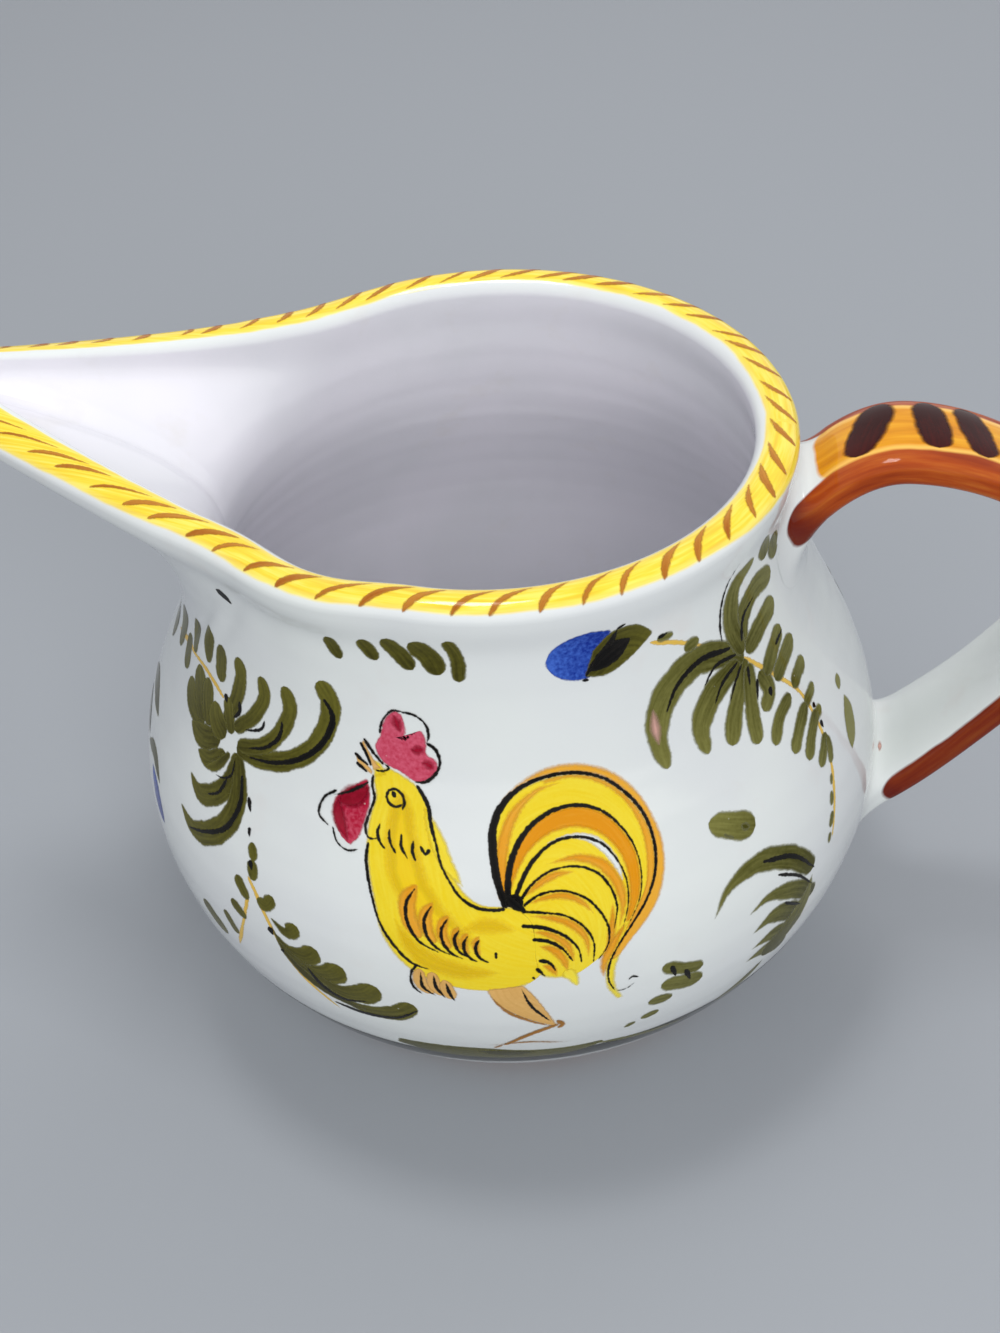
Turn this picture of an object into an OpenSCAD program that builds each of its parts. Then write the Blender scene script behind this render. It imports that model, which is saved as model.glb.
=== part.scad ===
// Tin-glazed earthenware pitcher with a painted rim and a strap handle.
// The jug stands on its foot at z = 0 with its throwing axis on Z.
// The spout points along -X and the handle lies along +X.

/* [Belly and neck] */
// Height of the top of the rim at the sides and the back
rim_h = 125.3; // [118:0.1:136]
// Greatest outside radius of the belly
belly_r = 75; // [70:1:84]
// Height of the widest part of the belly
belly_z = 50; // [40:1:60]
// Outside radius of the neck where the rolled rim sits on it
neck_r = 54.5; // [52:0.1:60]
// Thickness of the thrown wall
wall = 6; // [4:0.1:6.4]
// Thickness of the floor
floor_t = 6; // [4:0.1:9]

/* [Rim] */
// Height of the rolled rim
bead_h = 6.4; // [4:0.1:8]
// How far the rolled rim stands proud of the wall on each side
bead_proud = 1; // [0.3:0.1:1.2]
// How much lower the rolled rim gets at the tip, as a share of its height
tip_slim_share = 0.35; // [0:0.05:0.5]

/* [Foot] */
// Outside radius of the foot ring
foot_r = 50; // [40:1:51]
// Height of the foot ring
foot_h = 3; // [2:0.1:5]
// Width of the foot ring
foot_w = 6; // [4:0.1:10]

/* [Spout] */
// Distance from the axis to the tip of the spout
spout_reach = 109; // [96:1:125]
// Outside radius of the rounded tip
tip_r = 7.5; // [7:0.1:9]
// Height that the tip rises above the rest of the rim
tip_lift = 10; // [4:0.5:16]
// How far the rim swells on each side where the spout leaves the neck
cheek_fullness = 2; // [0:0.1:3]
// How far the top of the rim dips there
cheek_dip = 1.4; // [0:0.1:3]
// Height at which the spout leaves the neck
spout_root_z = 80; // [76:1:96]
// How far the floor of the spout channel starts above the root
channel_step = 4; // [2:0.5:6]

/* [Handle] */
// Width of the strap
strap_w = 21; // [16:0.5:26]
// Thickness of the strap
strap_t = 7; // [5.5:0.1:9]
// How much wider and thicker the strap gets at its lower root, as a share
strap_flare_share = 0.2; // [0:0.05:0.3]
// How far the crown of the handle stands above the rim, or below it if negative
crown_rise = -1.1; // [-4:0.1:8]
// Distance from the neck to the crown, along X
crown_gap = 20; // [16:0.5:28]
// Gap for the fingers between the belly and the back of the handle
finger_gap = 33; // [26:0.5:44]
// How far the outermost point of the handle lies below the middle of its crown
back_drop = 28.7; // [23:0.1:36]
// How far below the rim the handle meets the neck
upper_root_drop = 17.3; // [16:0.1:23]
// How far below the widest part of the belly the handle lands on it
lower_root_drop = 11; // [4:0.5:16]
// How far the luting clay spreads along the strap
lute_len = 6; // [5:0.5:9]
// How far the luting clay spreads beside the strap
lute_spread = 4.2; // [3:0.1:6]
// Thickness of the coloured glaze on the handle
glaze_t = 0.4; // [0.3:0.05:0.8]

/* [Hidden] */
$fn = 180;

cream = "#f1f3ee";
bare_clay = "#c98f6c";
rim_yellow = "#f2cf2e";
panel_orange = "#eda31d";
edge_brown = "#a8481c";

// Overrun of every cutting solid past the surface that it cuts
over = 1;

// Points along each curve of the wall, and along each curve of the handle
wall_steps = 10;
path_steps = [14, 12, 30];

lip_z = rim_h - bead_h;
floor_z = foot_h + floor_t;

// A point at share t along the cubic curve with these four control points
function bezier(p, t) =
    pow(1 - t, 3) * p[0] + 3 * t * pow(1 - t, 2) * p[1] + 3 * t * t * (1 - t) * p[2] + pow(t, 3) * p[3];

// The direction of that curve at share t
function bezier_dir(p, t) =
    let (d = pow(1 - t, 2) * (p[1] - p[0]) + 2 * t * (1 - t) * (p[2] - p[1]) + t * t * (p[3] - p[2]))
    d / norm(d);

function along(p, steps) = [for (i = [0 : steps]) bezier(p, i / steps)];

// All points of a list but the first, to chain curves that share an end
function tail(list) = [for (i = [1 : len(list) - 1]) list[i]];

function reverse(list) = [for (i = [len(list) - 1 : -1 : 0]) list[i]];

// Outside of the wall as [radius, height]: the undercut base, then the shoulder that runs in to the neck
edge_share = 0.03;
base_pull_shares = [0.72, 0.33];
belly_pull_share = 0.32;
shoulder_pull_share = 0.34;
neck_pull_share = 0.42;
base_edge = [foot_r * (1 + edge_share), foot_h];
base_pull = [base_pull_shares[0] * (belly_r - base_edge[0]), base_pull_shares[1] * (belly_z - foot_h)];
base_curve = [base_edge,
              base_edge + base_pull,
              [belly_r, belly_z - belly_pull_share * (belly_z - foot_h)],
              [belly_r, belly_z]];
shoulder_curve = [[belly_r, belly_z],
                  [belly_r, belly_z + shoulder_pull_share * (lip_z - belly_z)],
                  [neck_r, lip_z - neck_pull_share * (lip_z - belly_z)],
                  [neck_r, lip_z]];
upper_wall = along(shoulder_curve, wall_steps * 2);
outside = concat(along(base_curve, wall_steps), tail(upper_wall));

// Inside of the bowl, from the floor up to the widest part
inner_belly_r = belly_r - wall;
floor_curve = [[foot_r - 2 * wall, floor_z],
               [inner_belly_r - wall, floor_z],
               [inner_belly_r, belly_z - belly_pull_share * (belly_z - floor_z)],
               [inner_belly_r, belly_z]];
inner_wall = [for (p = tail(upper_wall)) p - [wall, 0]];
inside = concat([[0, floor_z]], along(floor_curve, wall_steps), inner_wall);

// Radius of the outside of the neck at a height above the belly
function neck_radius(z) = lookup(z, [for (p = upper_wall) [p[1], p[0]]]);

// Turn from the spout at which its straight sides run into the round rim
tip_centre = spout_reach - tip_r;
straight_end = acos((neck_r - tip_r) / tip_centre);
// Half the angle that the spout takes out of the neck
spout_half = 80;

// A smooth hump between two turns, one high in the middle
function hump(a, first, last) = a < first || a > last ? 0 : pow(sin(180 * (a - first) / (last - first)), 2);

// The rim is a little full and low where the spout leaves the neck
cheek_start = 36;
dip_start = 26;

// Plan of the rim in polar form: a round neck and a small round tip joined by straight sides.
// turn is measured from the spout, and inset moves the whole outline inwards.
function plan_radius(turn, inset) =
    let (r = neck_r - inset,
         tip = tip_r - inset,
         meets_tip = atan2(tip * sin(straight_end), tip_centre + tip * cos(straight_end)),
         a = abs(turn))
    a >= straight_end ? r + cheek_fullness * hump(a, cheek_start, spout_half)
    : a >= meets_tip ? r / cos(straight_end - a) + cheek_fullness * hump(a, cheek_start, spout_half)
    : tip_centre * cos(a) + sqrt(tip * tip - pow(tip_centre * sin(a), 2));

// How far along the spout the rim has got at this turn, from 0 at the neck to 1 at the tip
function spout_share(turn) = max(0, (plan_radius(turn, 0) * cos(turn) - neck_r) / (spout_reach - neck_r));

// Height of the rolled rim, and of the top of the wall under it, which rises towards the tip
lift_power = 1.3;
function rim_depth(turn) = bead_h * (1 - tip_slim_share * spout_share(turn));
function wall_top(turn) = rim_h + tip_lift * pow(spout_share(turn), lift_power)
    - cheek_dip * hump(abs(turn), dip_start, spout_half) - rim_depth(turn);

function polar(turn, r, z) = [-r * cos(turn), -r * sin(turn), z];

// The spout leaves the neck gently. The channel falls away faster than the outside does,
// which keeps the wall thick.
outside_power = 2.3;
channel_power = 3.2;

// One upright section through the spout: up the outside and down the channel
spout_rows = 10;
function spout_side(turn, inset, root, power) =
    let (top = wall_top(turn), grow = plan_radius(turn, inset) - (neck_r - inset))
    [for (i = [0 : spout_rows])
        let (z = root + (top - root) * i / spout_rows)
        polar(turn, neck_radius(z) - inset + grow * pow(i / spout_rows, power), z)];
function spout_section(turn) =
    concat(spout_side(turn, 0, spout_root_z, outside_power),
           reverse(spout_side(turn, wall, spout_root_z + channel_step, channel_power)),
           [polar(turn, neck_radius(spout_root_z) - wall, spout_root_z)]);

// Turns at which the spout and the rim are drawn, closer together round the tip
spout_columns = 24;
closeness = 1.6;
spout_turns = [for (i = [-spout_columns : spout_columns])
    sign(i) * spout_half * pow(abs(i) / spout_columns, closeness)];
round_columns = 46;
round_turns = [for (i = [1 : round_columns - 1])
    spout_half + (360 - 2 * spout_half) * i / round_columns];

// Section of the rolled rim, from the inside edge of the wall over the top to the outside edge.
// Each flank swells out of the wall in an S-curve and stands upright at the waist of the roll.
bead_arc_steps = 8;
flank_steps = 3;
bead_waist_share = 0.5;
function swell(share) = share * share * (3 - 2 * share);
function bead_section(turn) =
    let (inner = plan_radius(turn, wall), outer = plan_radius(turn, 0), base = wall_top(turn),
         middle = (inner + outer) / 2, thin = (outer - inner) / 2, proud = thin * 2 * bead_proud / wall,
         waist = rim_depth(turn) * bead_waist_share, crest = rim_depth(turn) - waist)
    concat([for (i = [0 : flank_steps - 1])
               let (share = i / flank_steps)
               polar(turn, middle - thin - proud * swell(share), base + waist * share)],
           [for (i = [0 : bead_arc_steps])
               let (a = 180 - 180 * i / bead_arc_steps)
               polar(turn, middle + (thin + proud) * cos(a), base + waist + crest * sin(a))],
           [for (i = [flank_steps - 1 : -1 : 0])
               let (share = i / flank_steps)
               polar(turn, middle + thin + proud * swell(share), base + waist * share)]);

// Centre line of the strap as [x, z]: up from the neck, over the crown and down to the belly.
// It starts and ends inside the clay, where the outside of the jug trims it.
crown = [neck_r + crown_gap, rim_h + crown_rise - strap_t / 2];
back = [belly_r + finger_gap + strap_t / 2, crown[1] - back_drop];
upper_slope_shares = [0.5, 0.87];
lower_slope_shares = [0.94, 0.34];
root_depth = 1.2 * wall;
upper_root_z = rim_h - upper_root_drop;
upper_root = [neck_radius(upper_root_z), upper_root_z] - root_depth * upper_slope_shares;
lower_root = [belly_r, belly_z - lower_root_drop] - root_depth * lower_slope_shares;
rise_share = 0.62;
crown_in_share = 0.45;
crown_out_share = 0.45;
back_up_share = 0.55;
back_down_share = 0.26;
landing_share = 0.22;
rise = rise_share * (crown[1] - upper_root[1]);
drop = back[1] - lower_root[1];
path = [
    [upper_root, upper_root + rise * upper_slope_shares, crown - [crown_in_share * crown_gap, 0], crown],
    [crown, crown + [crown_out_share * (back[0] - crown[0]), 0],
     back + [0, back_up_share * (crown[1] - back[1])], back],
    [back, back - [0, back_down_share * drop],
     lower_root + landing_share * drop * lower_slope_shares, lower_root]
];
// Stations along the strap, which crowd together towards the landing
landing_power = 1.4;
function step_share(s, i) = let (t = i / path_steps[s]) s == 2 ? 1 - pow(1 - t, landing_power) : t;
stations = [for (s = [0 : len(path) - 1]) for (i = [(s == 0 ? 0 : 1) : path_steps[s]])
    [bezier(path[s], step_share(s, i)), bezier_dir(path[s], step_share(s, i))]];

// Distance along the centre line from its start to each station
function run(i) = i == 0 ? 0 : run(i - 1) + norm(stations[i][0] - stations[i - 1][0]);
runs = [for (i = [0 : len(stations) - 1]) run(i)];
strap_len = runs[len(runs) - 1];

// Rounded section of the strap at station i: across is its width and out its thickness.
// spread makes the section larger all round.
section_points = 24;
squareness = 3.4;
function rounded(v) = sign(v) * pow(abs(v), 2 / squareness);
function flare(i) = 1 + strap_flare_share * max(0, 2 * runs[i] / strap_len - 1);
function strap_point(i, a, spread) =
    let (across = rounded(cos(a)) * (strap_w * flare(i) / 2 + spread),
         out = rounded(sin(a)) * (strap_t * flare(i) / 2 + spread),
         centre = stations[i][0], dir = stations[i][1])
    [centre[0] - dir[1] * out, across, centre[1] + dir[0] * out];
function strap_ring(i, spread) =
    [for (j = [0 : section_points - 1]) strap_point(i, 360 * j / section_points, spread)];

// Skins a closed surface over rings of points. The last ring joins the first when closed,
// and otherwise both get a flat end.
module loft(rings, closed = false) {
    m = len(rings);
    n = len(rings[0]);
    function at(i, j) = (i % m) * n + j % n;
    sides = [for (i = [0 : closed ? m - 1 : m - 2]) for (j = [0 : n - 1])
        each [[at(i, j), at(i + 1, j), at(i + 1, j + 1)], [at(i, j), at(i + 1, j + 1), at(i, j + 1)]]];
    ends = closed ? [] : [[for (j = [0 : n - 1]) j], [for (j = [n - 1 : -1 : 0]) (m - 1) * n + j]];
    polyhedron(points = [for (ring = rings) each ring], faces = concat(sides, ends), convexity = 8);
}

// The outside of the thrown jug as a full solid, to trim what is luted on to it
module outer_form() {
    rotate_extrude() polygon(concat([[0, foot_h]], outside, [[0, lip_z]]));
}

// The sector of the neck that the spout takes the place of
module spout_notch() {
    far = belly_r + over;
    translate([0, 0, spout_root_z])
        linear_extrude(height = lip_z - spout_root_z + over)
            polygon([[0, 0], far * [-cos(spout_half), -sin(spout_half)], [-far, -far],
                     [-far, far], far * [-cos(spout_half), sin(spout_half)]]);
}

module body() {
    color(cream)
        difference() {
            rotate_extrude() polygon(concat(outside, reverse(inside), [[0, foot_h]]));
            spout_notch();
        }
}

module foot_ring() {
    bevel = foot_h / 3;
    color(bare_clay)
        rotate_extrude()
            polygon([[foot_r - foot_w, foot_h], [foot_r - foot_w + bevel, 0], [foot_r - bevel, 0],
                     [foot_r, bevel], [foot_r, foot_h]]);
}

module spout() {
    color(cream) loft([for (turn = spout_turns) spout_section(turn)]);
}

module rolled_rim() {
    turns = concat(spout_turns, round_turns);
    color(rim_yellow) loft([for (turn = turns) bead_section(turn)], closed = true);
}

module handle_strap() {
    color(cream)
        difference() {
            loft([for (i = [0 : len(stations) - 1]) strap_ring(i, 0)]);
            outer_form();
        }
}

// Clay worked round one end of the strap, at these distances along it. It thins out to nothing.
covered = root_depth + lute_len;
lute_edge_share = 0.08;
function spread_at(distance) =
    let (share = min(1, max(0, (distance - root_depth / 2) / (covered - root_depth / 2))))
    lute_spread * (lute_edge_share + (1 - lute_edge_share) * pow(1 - share, 2));
module luting(at, distances) {
    n = len(at);
    difference() {
        loft(concat([for (k = [0 : n - 1]) strap_ring(at[k], spread_at(distances[k]))],
                    [for (k = [n - 1 : -1 : 0]) strap_ring(at[k], 0)]), closed = true);
        outer_form();
    }
}

// Stations of the strap that the clay covers at either end, and those that the coloured glaze covers
last_station = len(stations) - 1;
near_start = [for (i = [0 : last_station]) if (runs[i] <= covered) i];
near_end = [for (i = [last_station : -1 : 0]) if (strap_len - runs[i] <= covered) i];
glazed = [for (i = [len(near_start) - 1 : len(stations) - len(near_end)]) i];

module upper_luting() {
    color(cream) luting(near_start, [for (i = near_start) runs[i]]);
}

module lower_luting() {
    color(cream) luting(near_end, [for (i = near_end) strap_len - runs[i]]);
}

// A skin of coloured glaze over the part of the strap between two angles of its section
skin_steps = 6;
// Stations by which the panel starts later than the bands beside it
panel_setback = 2;
module glaze_skin(at, first, last) {
    angles = [for (k = [0 : skin_steps]) first + (last - first) * k / skin_steps];
    loft([for (i = at) concat([for (a = angles) strap_point(i, a, 0)],
                              [for (a = reverse(angles)) strap_point(i, a, glaze_t)])]);
}

module handle_top_glaze() {
    color(panel_orange) glaze_skin([for (i = [panel_setback : len(glazed) - 1]) glazed[i]], 45, 135);
}

module near_edge_glaze() {
    color(edge_brown) glaze_skin(glazed, 135, 225);
}

module far_edge_glaze() {
    color(edge_brown) glaze_skin(glazed, -45, 45);
}

body();
foot_ring();
spout();
rolled_rim();
handle_strap();
upper_luting();
lower_luting();
handle_top_glaze();
near_edge_glaze();
far_edge_glaze();
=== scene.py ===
import math
import bpy
import numpy as np
from mathutils import Matrix, Vector


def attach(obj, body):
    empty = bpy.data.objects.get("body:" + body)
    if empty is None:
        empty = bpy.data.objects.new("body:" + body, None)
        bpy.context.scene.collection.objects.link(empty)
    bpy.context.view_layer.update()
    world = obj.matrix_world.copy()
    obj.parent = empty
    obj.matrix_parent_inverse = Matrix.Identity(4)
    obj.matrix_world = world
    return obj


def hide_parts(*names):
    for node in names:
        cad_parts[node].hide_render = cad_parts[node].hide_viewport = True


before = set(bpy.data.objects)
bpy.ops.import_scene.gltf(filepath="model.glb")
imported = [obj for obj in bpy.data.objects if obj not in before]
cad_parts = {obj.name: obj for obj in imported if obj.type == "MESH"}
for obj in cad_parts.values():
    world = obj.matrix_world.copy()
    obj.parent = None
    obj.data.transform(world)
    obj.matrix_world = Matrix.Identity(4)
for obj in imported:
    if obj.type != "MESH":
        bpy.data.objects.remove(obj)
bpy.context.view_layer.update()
print("frame loaded:", len(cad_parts), "nodes")

# Everything is worked out in mm and turned to metres where a mesh is made.
metre = 1000.0
chance = np.random.default_rng(7)


def curve(points, t):
    # point on a cubic curve: four control points, each weighted by its share at t
    p = np.asarray(points, float)
    t = np.asarray(t, float)[..., None]
    return (1 - t) ** 3 * p[0] + 3 * t * (1 - t) ** 2 * p[1] + 3 * t ** 2 * (1 - t) * p[2] + t ** 3 * p[3]


def smoothStep(low, high, value):
    # 0 below low, 1 above high, and an S-shaped rise between
    t = np.clip((value - low) / (high - low), 0, 1)
    return t * t * (3 - 2 * t)


def unit(v):
    return v / np.maximum(np.linalg.norm(v, axis=-1, keepdims=True), 1e-12)


def throughPoints(points, count):
    # smooth line through a few points: each stretch is a cubic whose end slopes follow the neighbours
    p = np.asarray(points, float)
    if len(p) == 2:
        p = np.array([p[0], (p[0] + p[1]) / 2, p[1]])
    gaps = np.linalg.norm(np.diff(p, axis=0), axis=1)
    at = np.concatenate([[0], np.cumsum(gaps)])
    slope = np.gradient(p, at, axis=0)
    s = np.linspace(0, at[-1], count)
    k = np.clip(np.searchsorted(at, s, side="right") - 1, 0, len(p) - 2)
    h = gaps[k][:, None]
    t = ((s - at[k]) / gaps[k])[:, None]
    return ((2 * t ** 3 - 3 * t ** 2 + 1) * p[k] + (t ** 3 - 2 * t ** 2 + t) * h * slope[k]
            + (3 * t ** 2 - 2 * t ** 3) * p[k + 1] + (t ** 3 - t ** 2) * h * slope[k + 1])


def gridNormals(points, wrap):
    # cross product of the two grid directions, wrapped round where the columns close
    if wrap:
        across = np.roll(points, -1, axis=1) - np.roll(points, 1, axis=1)
    else:
        across = np.gradient(points, axis=1)
    return unit(np.cross(across, np.gradient(points, axis=0)))


def gridFaces(rows, columns, wrap):
    # quads of a grid of points, with the last column joined to the first where it wraps
    i, j = np.meshgrid(np.arange(rows - 1), np.arange(columns if wrap else columns - 1), indexing="ij")
    k = (j + 1) % columns
    return np.stack([i * columns + j, i * columns + k, (i + 1) * columns + k, (i + 1) * columns + j], -1)


def makePiece(name, points, faces, material, stands=(), normals=None, uv=None, extra=None):
    # one mesh object from arrays in mm: unused points are dropped, and quads that close on a pole become
    # triangles
    points = np.asarray(points, float).reshape(-1, 3)
    faces = np.asarray(faces).reshape(-1, 4)
    used, local = np.unique(faces, return_inverse=True)
    faces = local.reshape(faces.shape)
    keep = np.ones(faces.shape, bool)
    keep[:, 1] = faces[:, 1] != faces[:, 0]
    keep[:, 3] = faces[:, 3] != faces[:, 2]
    corners = faces[keep]
    sizes = keep.sum(1)
    mesh = bpy.data.meshes.new(name)
    mesh.vertices.add(len(used))
    mesh.vertices.foreach_set("co", (points[used] / metre).ravel())
    mesh.loops.add(len(corners))
    mesh.loops.foreach_set("vertex_index", corners)
    mesh.polygons.add(len(sizes))
    mesh.polygons.foreach_set("loop_start", np.concatenate([[0], np.cumsum(sizes)[:-1]]))
    mesh.polygons.foreach_set("use_smooth", np.ones(len(sizes), bool))
    mesh.update(calc_edges=True)
    if uv is not None:
        layer = mesh.uv_layers.new(name="surface")
        layer.data.foreach_set("uv", np.asarray(uv, float).reshape(-1, 2)[used][corners].ravel())
    for key, values in (extra or {}).items():
        data = mesh.attributes.new(key, "FLOAT", "POINT").data
        data.foreach_set("value", np.asarray(values, float).ravel()[used])
    if normals is not None:
        mesh.normals_split_custom_set_from_vertices(np.asarray(normals).reshape(-1, 3)[used].tolist())
    mesh.materials.append(material)
    piece = bpy.data.objects.new(name, mesh)
    bpy.context.scene.collection.objects.link(piece)
    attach(piece, "root")
    if stands:
        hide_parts(*stands)
    return piece


def paint(hexText):
    # sRGB hex to linear RGBA
    c = np.array([int(hexText[k:k + 2], 16) for k in (0, 2, 4)]) / 255
    c = np.where(c <= 0.04045, c / 12.92, ((c + 0.055) / 1.055) ** 2.4)
    return (*c, 1.0)


def add(tree, kind, inputs=None, **settings):
    # one node with its settings, its values and its links; a text value is a colour in hex
    made = tree.nodes.new("ShaderNode" + kind)
    for key, value in settings.items():
        setattr(made, key, value)
    for key, value in (inputs or {}).items():
        if isinstance(value, bpy.types.NodeSocket):
            tree.links.new(value, made.inputs[key])
        else:
            made.inputs[key].default_value = paint(value) if isinstance(value, str) else value
    return made


def noise(tree, vector, scale, detail, **more):
    return add(tree, "TexNoise", {"Vector": vector, "Scale": scale, "Detail": detail, **more}).outputs[0]


def reckon(tree, operation, *values):
    # arithmetic on numbers and sockets
    return add(tree, "Math", dict(enumerate(values)), operation=operation).outputs[0]


def spread(tree, value, low, high, first=0.0, last=1.0):
    # the value's way from low to high as a way from first to last
    return add(tree, "MapRange", {0: value, 1: low, 2: high, 3: first, 4: last}).outputs[0]


def mix(tree, share, first, second):
    # the first colour where share is 0 and the second where it is 1
    return add(tree, "Mix", {0: share, 6: first, 7: second}, data_type="RGBA").outputs[2]


def ramp(tree, value, *stops):
    # a colour for each value, from stops of place and colour
    made = add(tree, "ValToRGB", {0: value})
    marks = made.color_ramp.elements
    for mark, (place, colour) in zip(marks, (stops[0], stops[-1])):
        mark.position, mark.color = place, paint(colour)
    for place, colour in stops[1:-1]:
        marks.new(place).color = paint(colour)
    return made.outputs[0]


def readShare(tree, name):
    # a number that the mesh carries at each point
    return add(tree, "Attribute", attribute_name=name).outputs["Fac"]


def brushStreaks(tree, stretch, scale, detail):
    # noise drawn out along the brush, in the surface's own coordinates
    where = add(tree, "TexCoord").outputs["UV"]
    drawn = add(tree, "Mapping", {"Vector": where, "Scale": (*stretch, 1.0)}).outputs[0]
    return noise(tree, drawn, scale, detail)


def spots(tree, place, scale, rarity, radius, strength):
    # small round spots in the few cells whose random tone is above the rarity
    cells = add(tree, "TexVoronoi", {"Vector": place, "Scale": scale})
    chosen = reckon(tree, "GREATER_THAN", cells.outputs["Color"], rarity)
    near = reckon(tree, "LESS_THAN", cells.outputs["Distance"], radius)
    return reckon(tree, "MULTIPLY", reckon(tree, "MULTIPLY", chosen, near), strength)


def newMaterial(name):
    material = bpy.data.materials.new(name)
    material.use_nodes = True
    tree = material.node_tree
    tree.nodes.clear()
    return material, tree, add(tree, "TexCoord").outputs["Object"]


# The camera as fitted to the outline in the photo: lengths in mm, focal length and optical centre in pixels.
camera = {
    "stand": (33.4, -272.3, 308.9),
    "target": (0, 0, 64.5),
    "roll": 3.3,            # degrees clockwise
    "focalPixels": 1800.0,
    "picture": (1000, 1333),
    "optical": (507.0, 664.5),
    "sensor": 36.0,
    "clip": (0.01, 20.0),   # metres
}


def setCamera():
    eye = Vector(camera["stand"]) / metre
    ahead = (Vector(camera["target"]) / metre - eye).normalized()
    right = ahead.cross(Vector((0, 0, 1))).normalized()
    up = right.cross(ahead)
    a = math.radians(camera["roll"])
    tiltedRight = right * math.cos(a) - up * math.sin(a)
    tiltedUp = up * math.cos(a) + right * math.sin(a)
    data = bpy.data.cameras.new("camera")
    width, height = camera["picture"]
    data.sensor_width = camera["sensor"]
    data.lens = camera["focalPixels"] / height * data.sensor_width
    data.shift_x = (width / 2 - camera["optical"][0]) / height
    data.shift_y = (camera["optical"][1] - height / 2) / height
    data.clip_start, data.clip_end = camera["clip"]
    body = bpy.data.objects.new("camera", data)
    body.matrix_world = Matrix((
        (tiltedRight.x, tiltedUp.x, -ahead.x, eye.x),
        (tiltedRight.y, tiltedUp.y, -ahead.y, eye.y),
        (tiltedRight.z, tiltedUp.z, -ahead.z, eye.z),
        (0, 0, 0, 1)))
    bpy.context.scene.collection.objects.link(body)
    bpy.context.scene.camera = body


setCamera()
bpy.context.scene.view_settings.view_transform = "Standard"

studio = {
    "floor": "9DA1A6",
    "floorRoughness": 0.62,
    "floorReach": 9.0,      # metres each way, so that low views don't see its end
    "dome": (0.93, 0.95, 1.0, 1),
    "domeStrength": 0.6,
    # name, place and size in mm, watts, target, and whether the glaze mirrors it
    "lamps": [
        ("keyBox", (190, -690, 560), 420, 3.5, (0, 0, 60), False),
        ("backBox", (160, 520, 760), 420, 1.3, (0, 0, 90), False),
        ("strapSpark", (-60, 50, 720), 150, 1.1, (70, -9, 123), True),
    ],
}


def setStudio():
    material, tree, _ = newMaterial("paleFloor")
    shader = add(tree, "BsdfPrincipled",
                 {"Base Color": studio["floor"], "Roughness": studio["floorRoughness"]})
    add(tree, "OutputMaterial", {"Surface": shader.outputs[0]})
    mesh = bpy.data.meshes.new("floor")
    far = studio["floorReach"]
    mesh.from_pydata([(-far, -far, 0), (far, -far, 0), (far, far, 0), (-far, far, 0)], [], [(0, 1, 2, 3)])
    mesh.materials.append(material)
    floor = bpy.data.objects.new("floor", mesh)
    bpy.context.scene.collection.objects.link(floor)
    # the world shows white, but lights the jug at the dome's plain level
    world = bpy.data.worlds.new("studio")
    bpy.context.scene.world = world
    world.use_nodes = True
    tree = world.node_tree
    tree.nodes.clear()
    ray = add(tree, "LightPath").outputs
    through = reckon(tree, "MAXIMUM", ray["Is Camera Ray"], ray["Is Transmission Ray"])
    shown = reckon(tree, "MAXIMUM", through, ray["Is Glossy Ray"])
    dome = add(tree, "Background", {"Color": studio["dome"], "Strength": studio["domeStrength"]})
    white = add(tree, "Background", {"Color": (1, 1, 1, 1), "Strength": 1.0})
    both = add(tree, "MixShader", {0: shown, 1: dome.outputs[0], 2: white.outputs[0]})
    add(tree, "OutputWorld", {"Surface": both.outputs[0]})
    for name, place, size, watts, target, mirrored in studio["lamps"]:
        data = bpy.data.lights.new(name, "AREA")
        data.size = size / metre
        data.energy = watts
        lamp = bpy.data.objects.new(name, data)
        lamp.location = Vector(place) / metre
        aim = Vector(target) - Vector(place)
        lamp.rotation_euler = aim.to_track_quat("-Z", "Y").to_euler()
        lamp.visible_glossy = mirrored
        bpy.context.scene.collection.objects.link(lamp)


setStudio()
print("camera and studio set")

# Finishes. Scales are for coordinates in metres: 75 gives waves some 13 mm long, 620 gives 1.6 mm.
glaze = {
    "white": "DFE3E0",        # opacified tin glaze, outside
    "inner": "E6E4EA",        # inside: the white painted lighter and lilac, as painted light and reflection in the bowl
    "cool": "D6D8DB",         # where the tin pooled
    "warm": "DAD6D2",         # where the buff clay tints it
    "speck": "6E6458",
    "clay": "B98262",         # the wiped edge of the foot
    "roughness": 0.09,
    "ior": 1.52,
    # specular levels: colours that mirror the white studio less keep their depth
    "shine": 0.5,
    "strapShine": 0.2,
    "pigmentShine": 0.12,
}


def glossyCoat(tree, place, colour, alpha=None, shine=glaze["shine"], roughness=glaze["roughness"]):
    # the lead-bright surface of fired glaze: hard gloss with a slow ripple and fine orange peel
    ripple, peel = noise(tree, place, 75.0, 1.0), noise(tree, place, 620.0, 2.0)
    slow = add(tree, "Bump", {"Height": ripple, "Strength": 0.16, "Distance": 0.0011})
    fine = add(tree, "Bump",
               {"Height": peel, "Strength": 0.10, "Distance": 0.00012, "Normal": slow.outputs[0]})
    shader = add(tree, "BsdfPrincipled", {
        "Base Color": colour, "Roughness": roughness, "Specular IOR Level": shine, "IOR": glaze["ior"],
        "Normal": fine.outputs[0], "Alpha": 1.0 if alpha is None else alpha})
    add(tree, "OutputMaterial", {"Surface": shader.outputs[0]})


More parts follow.
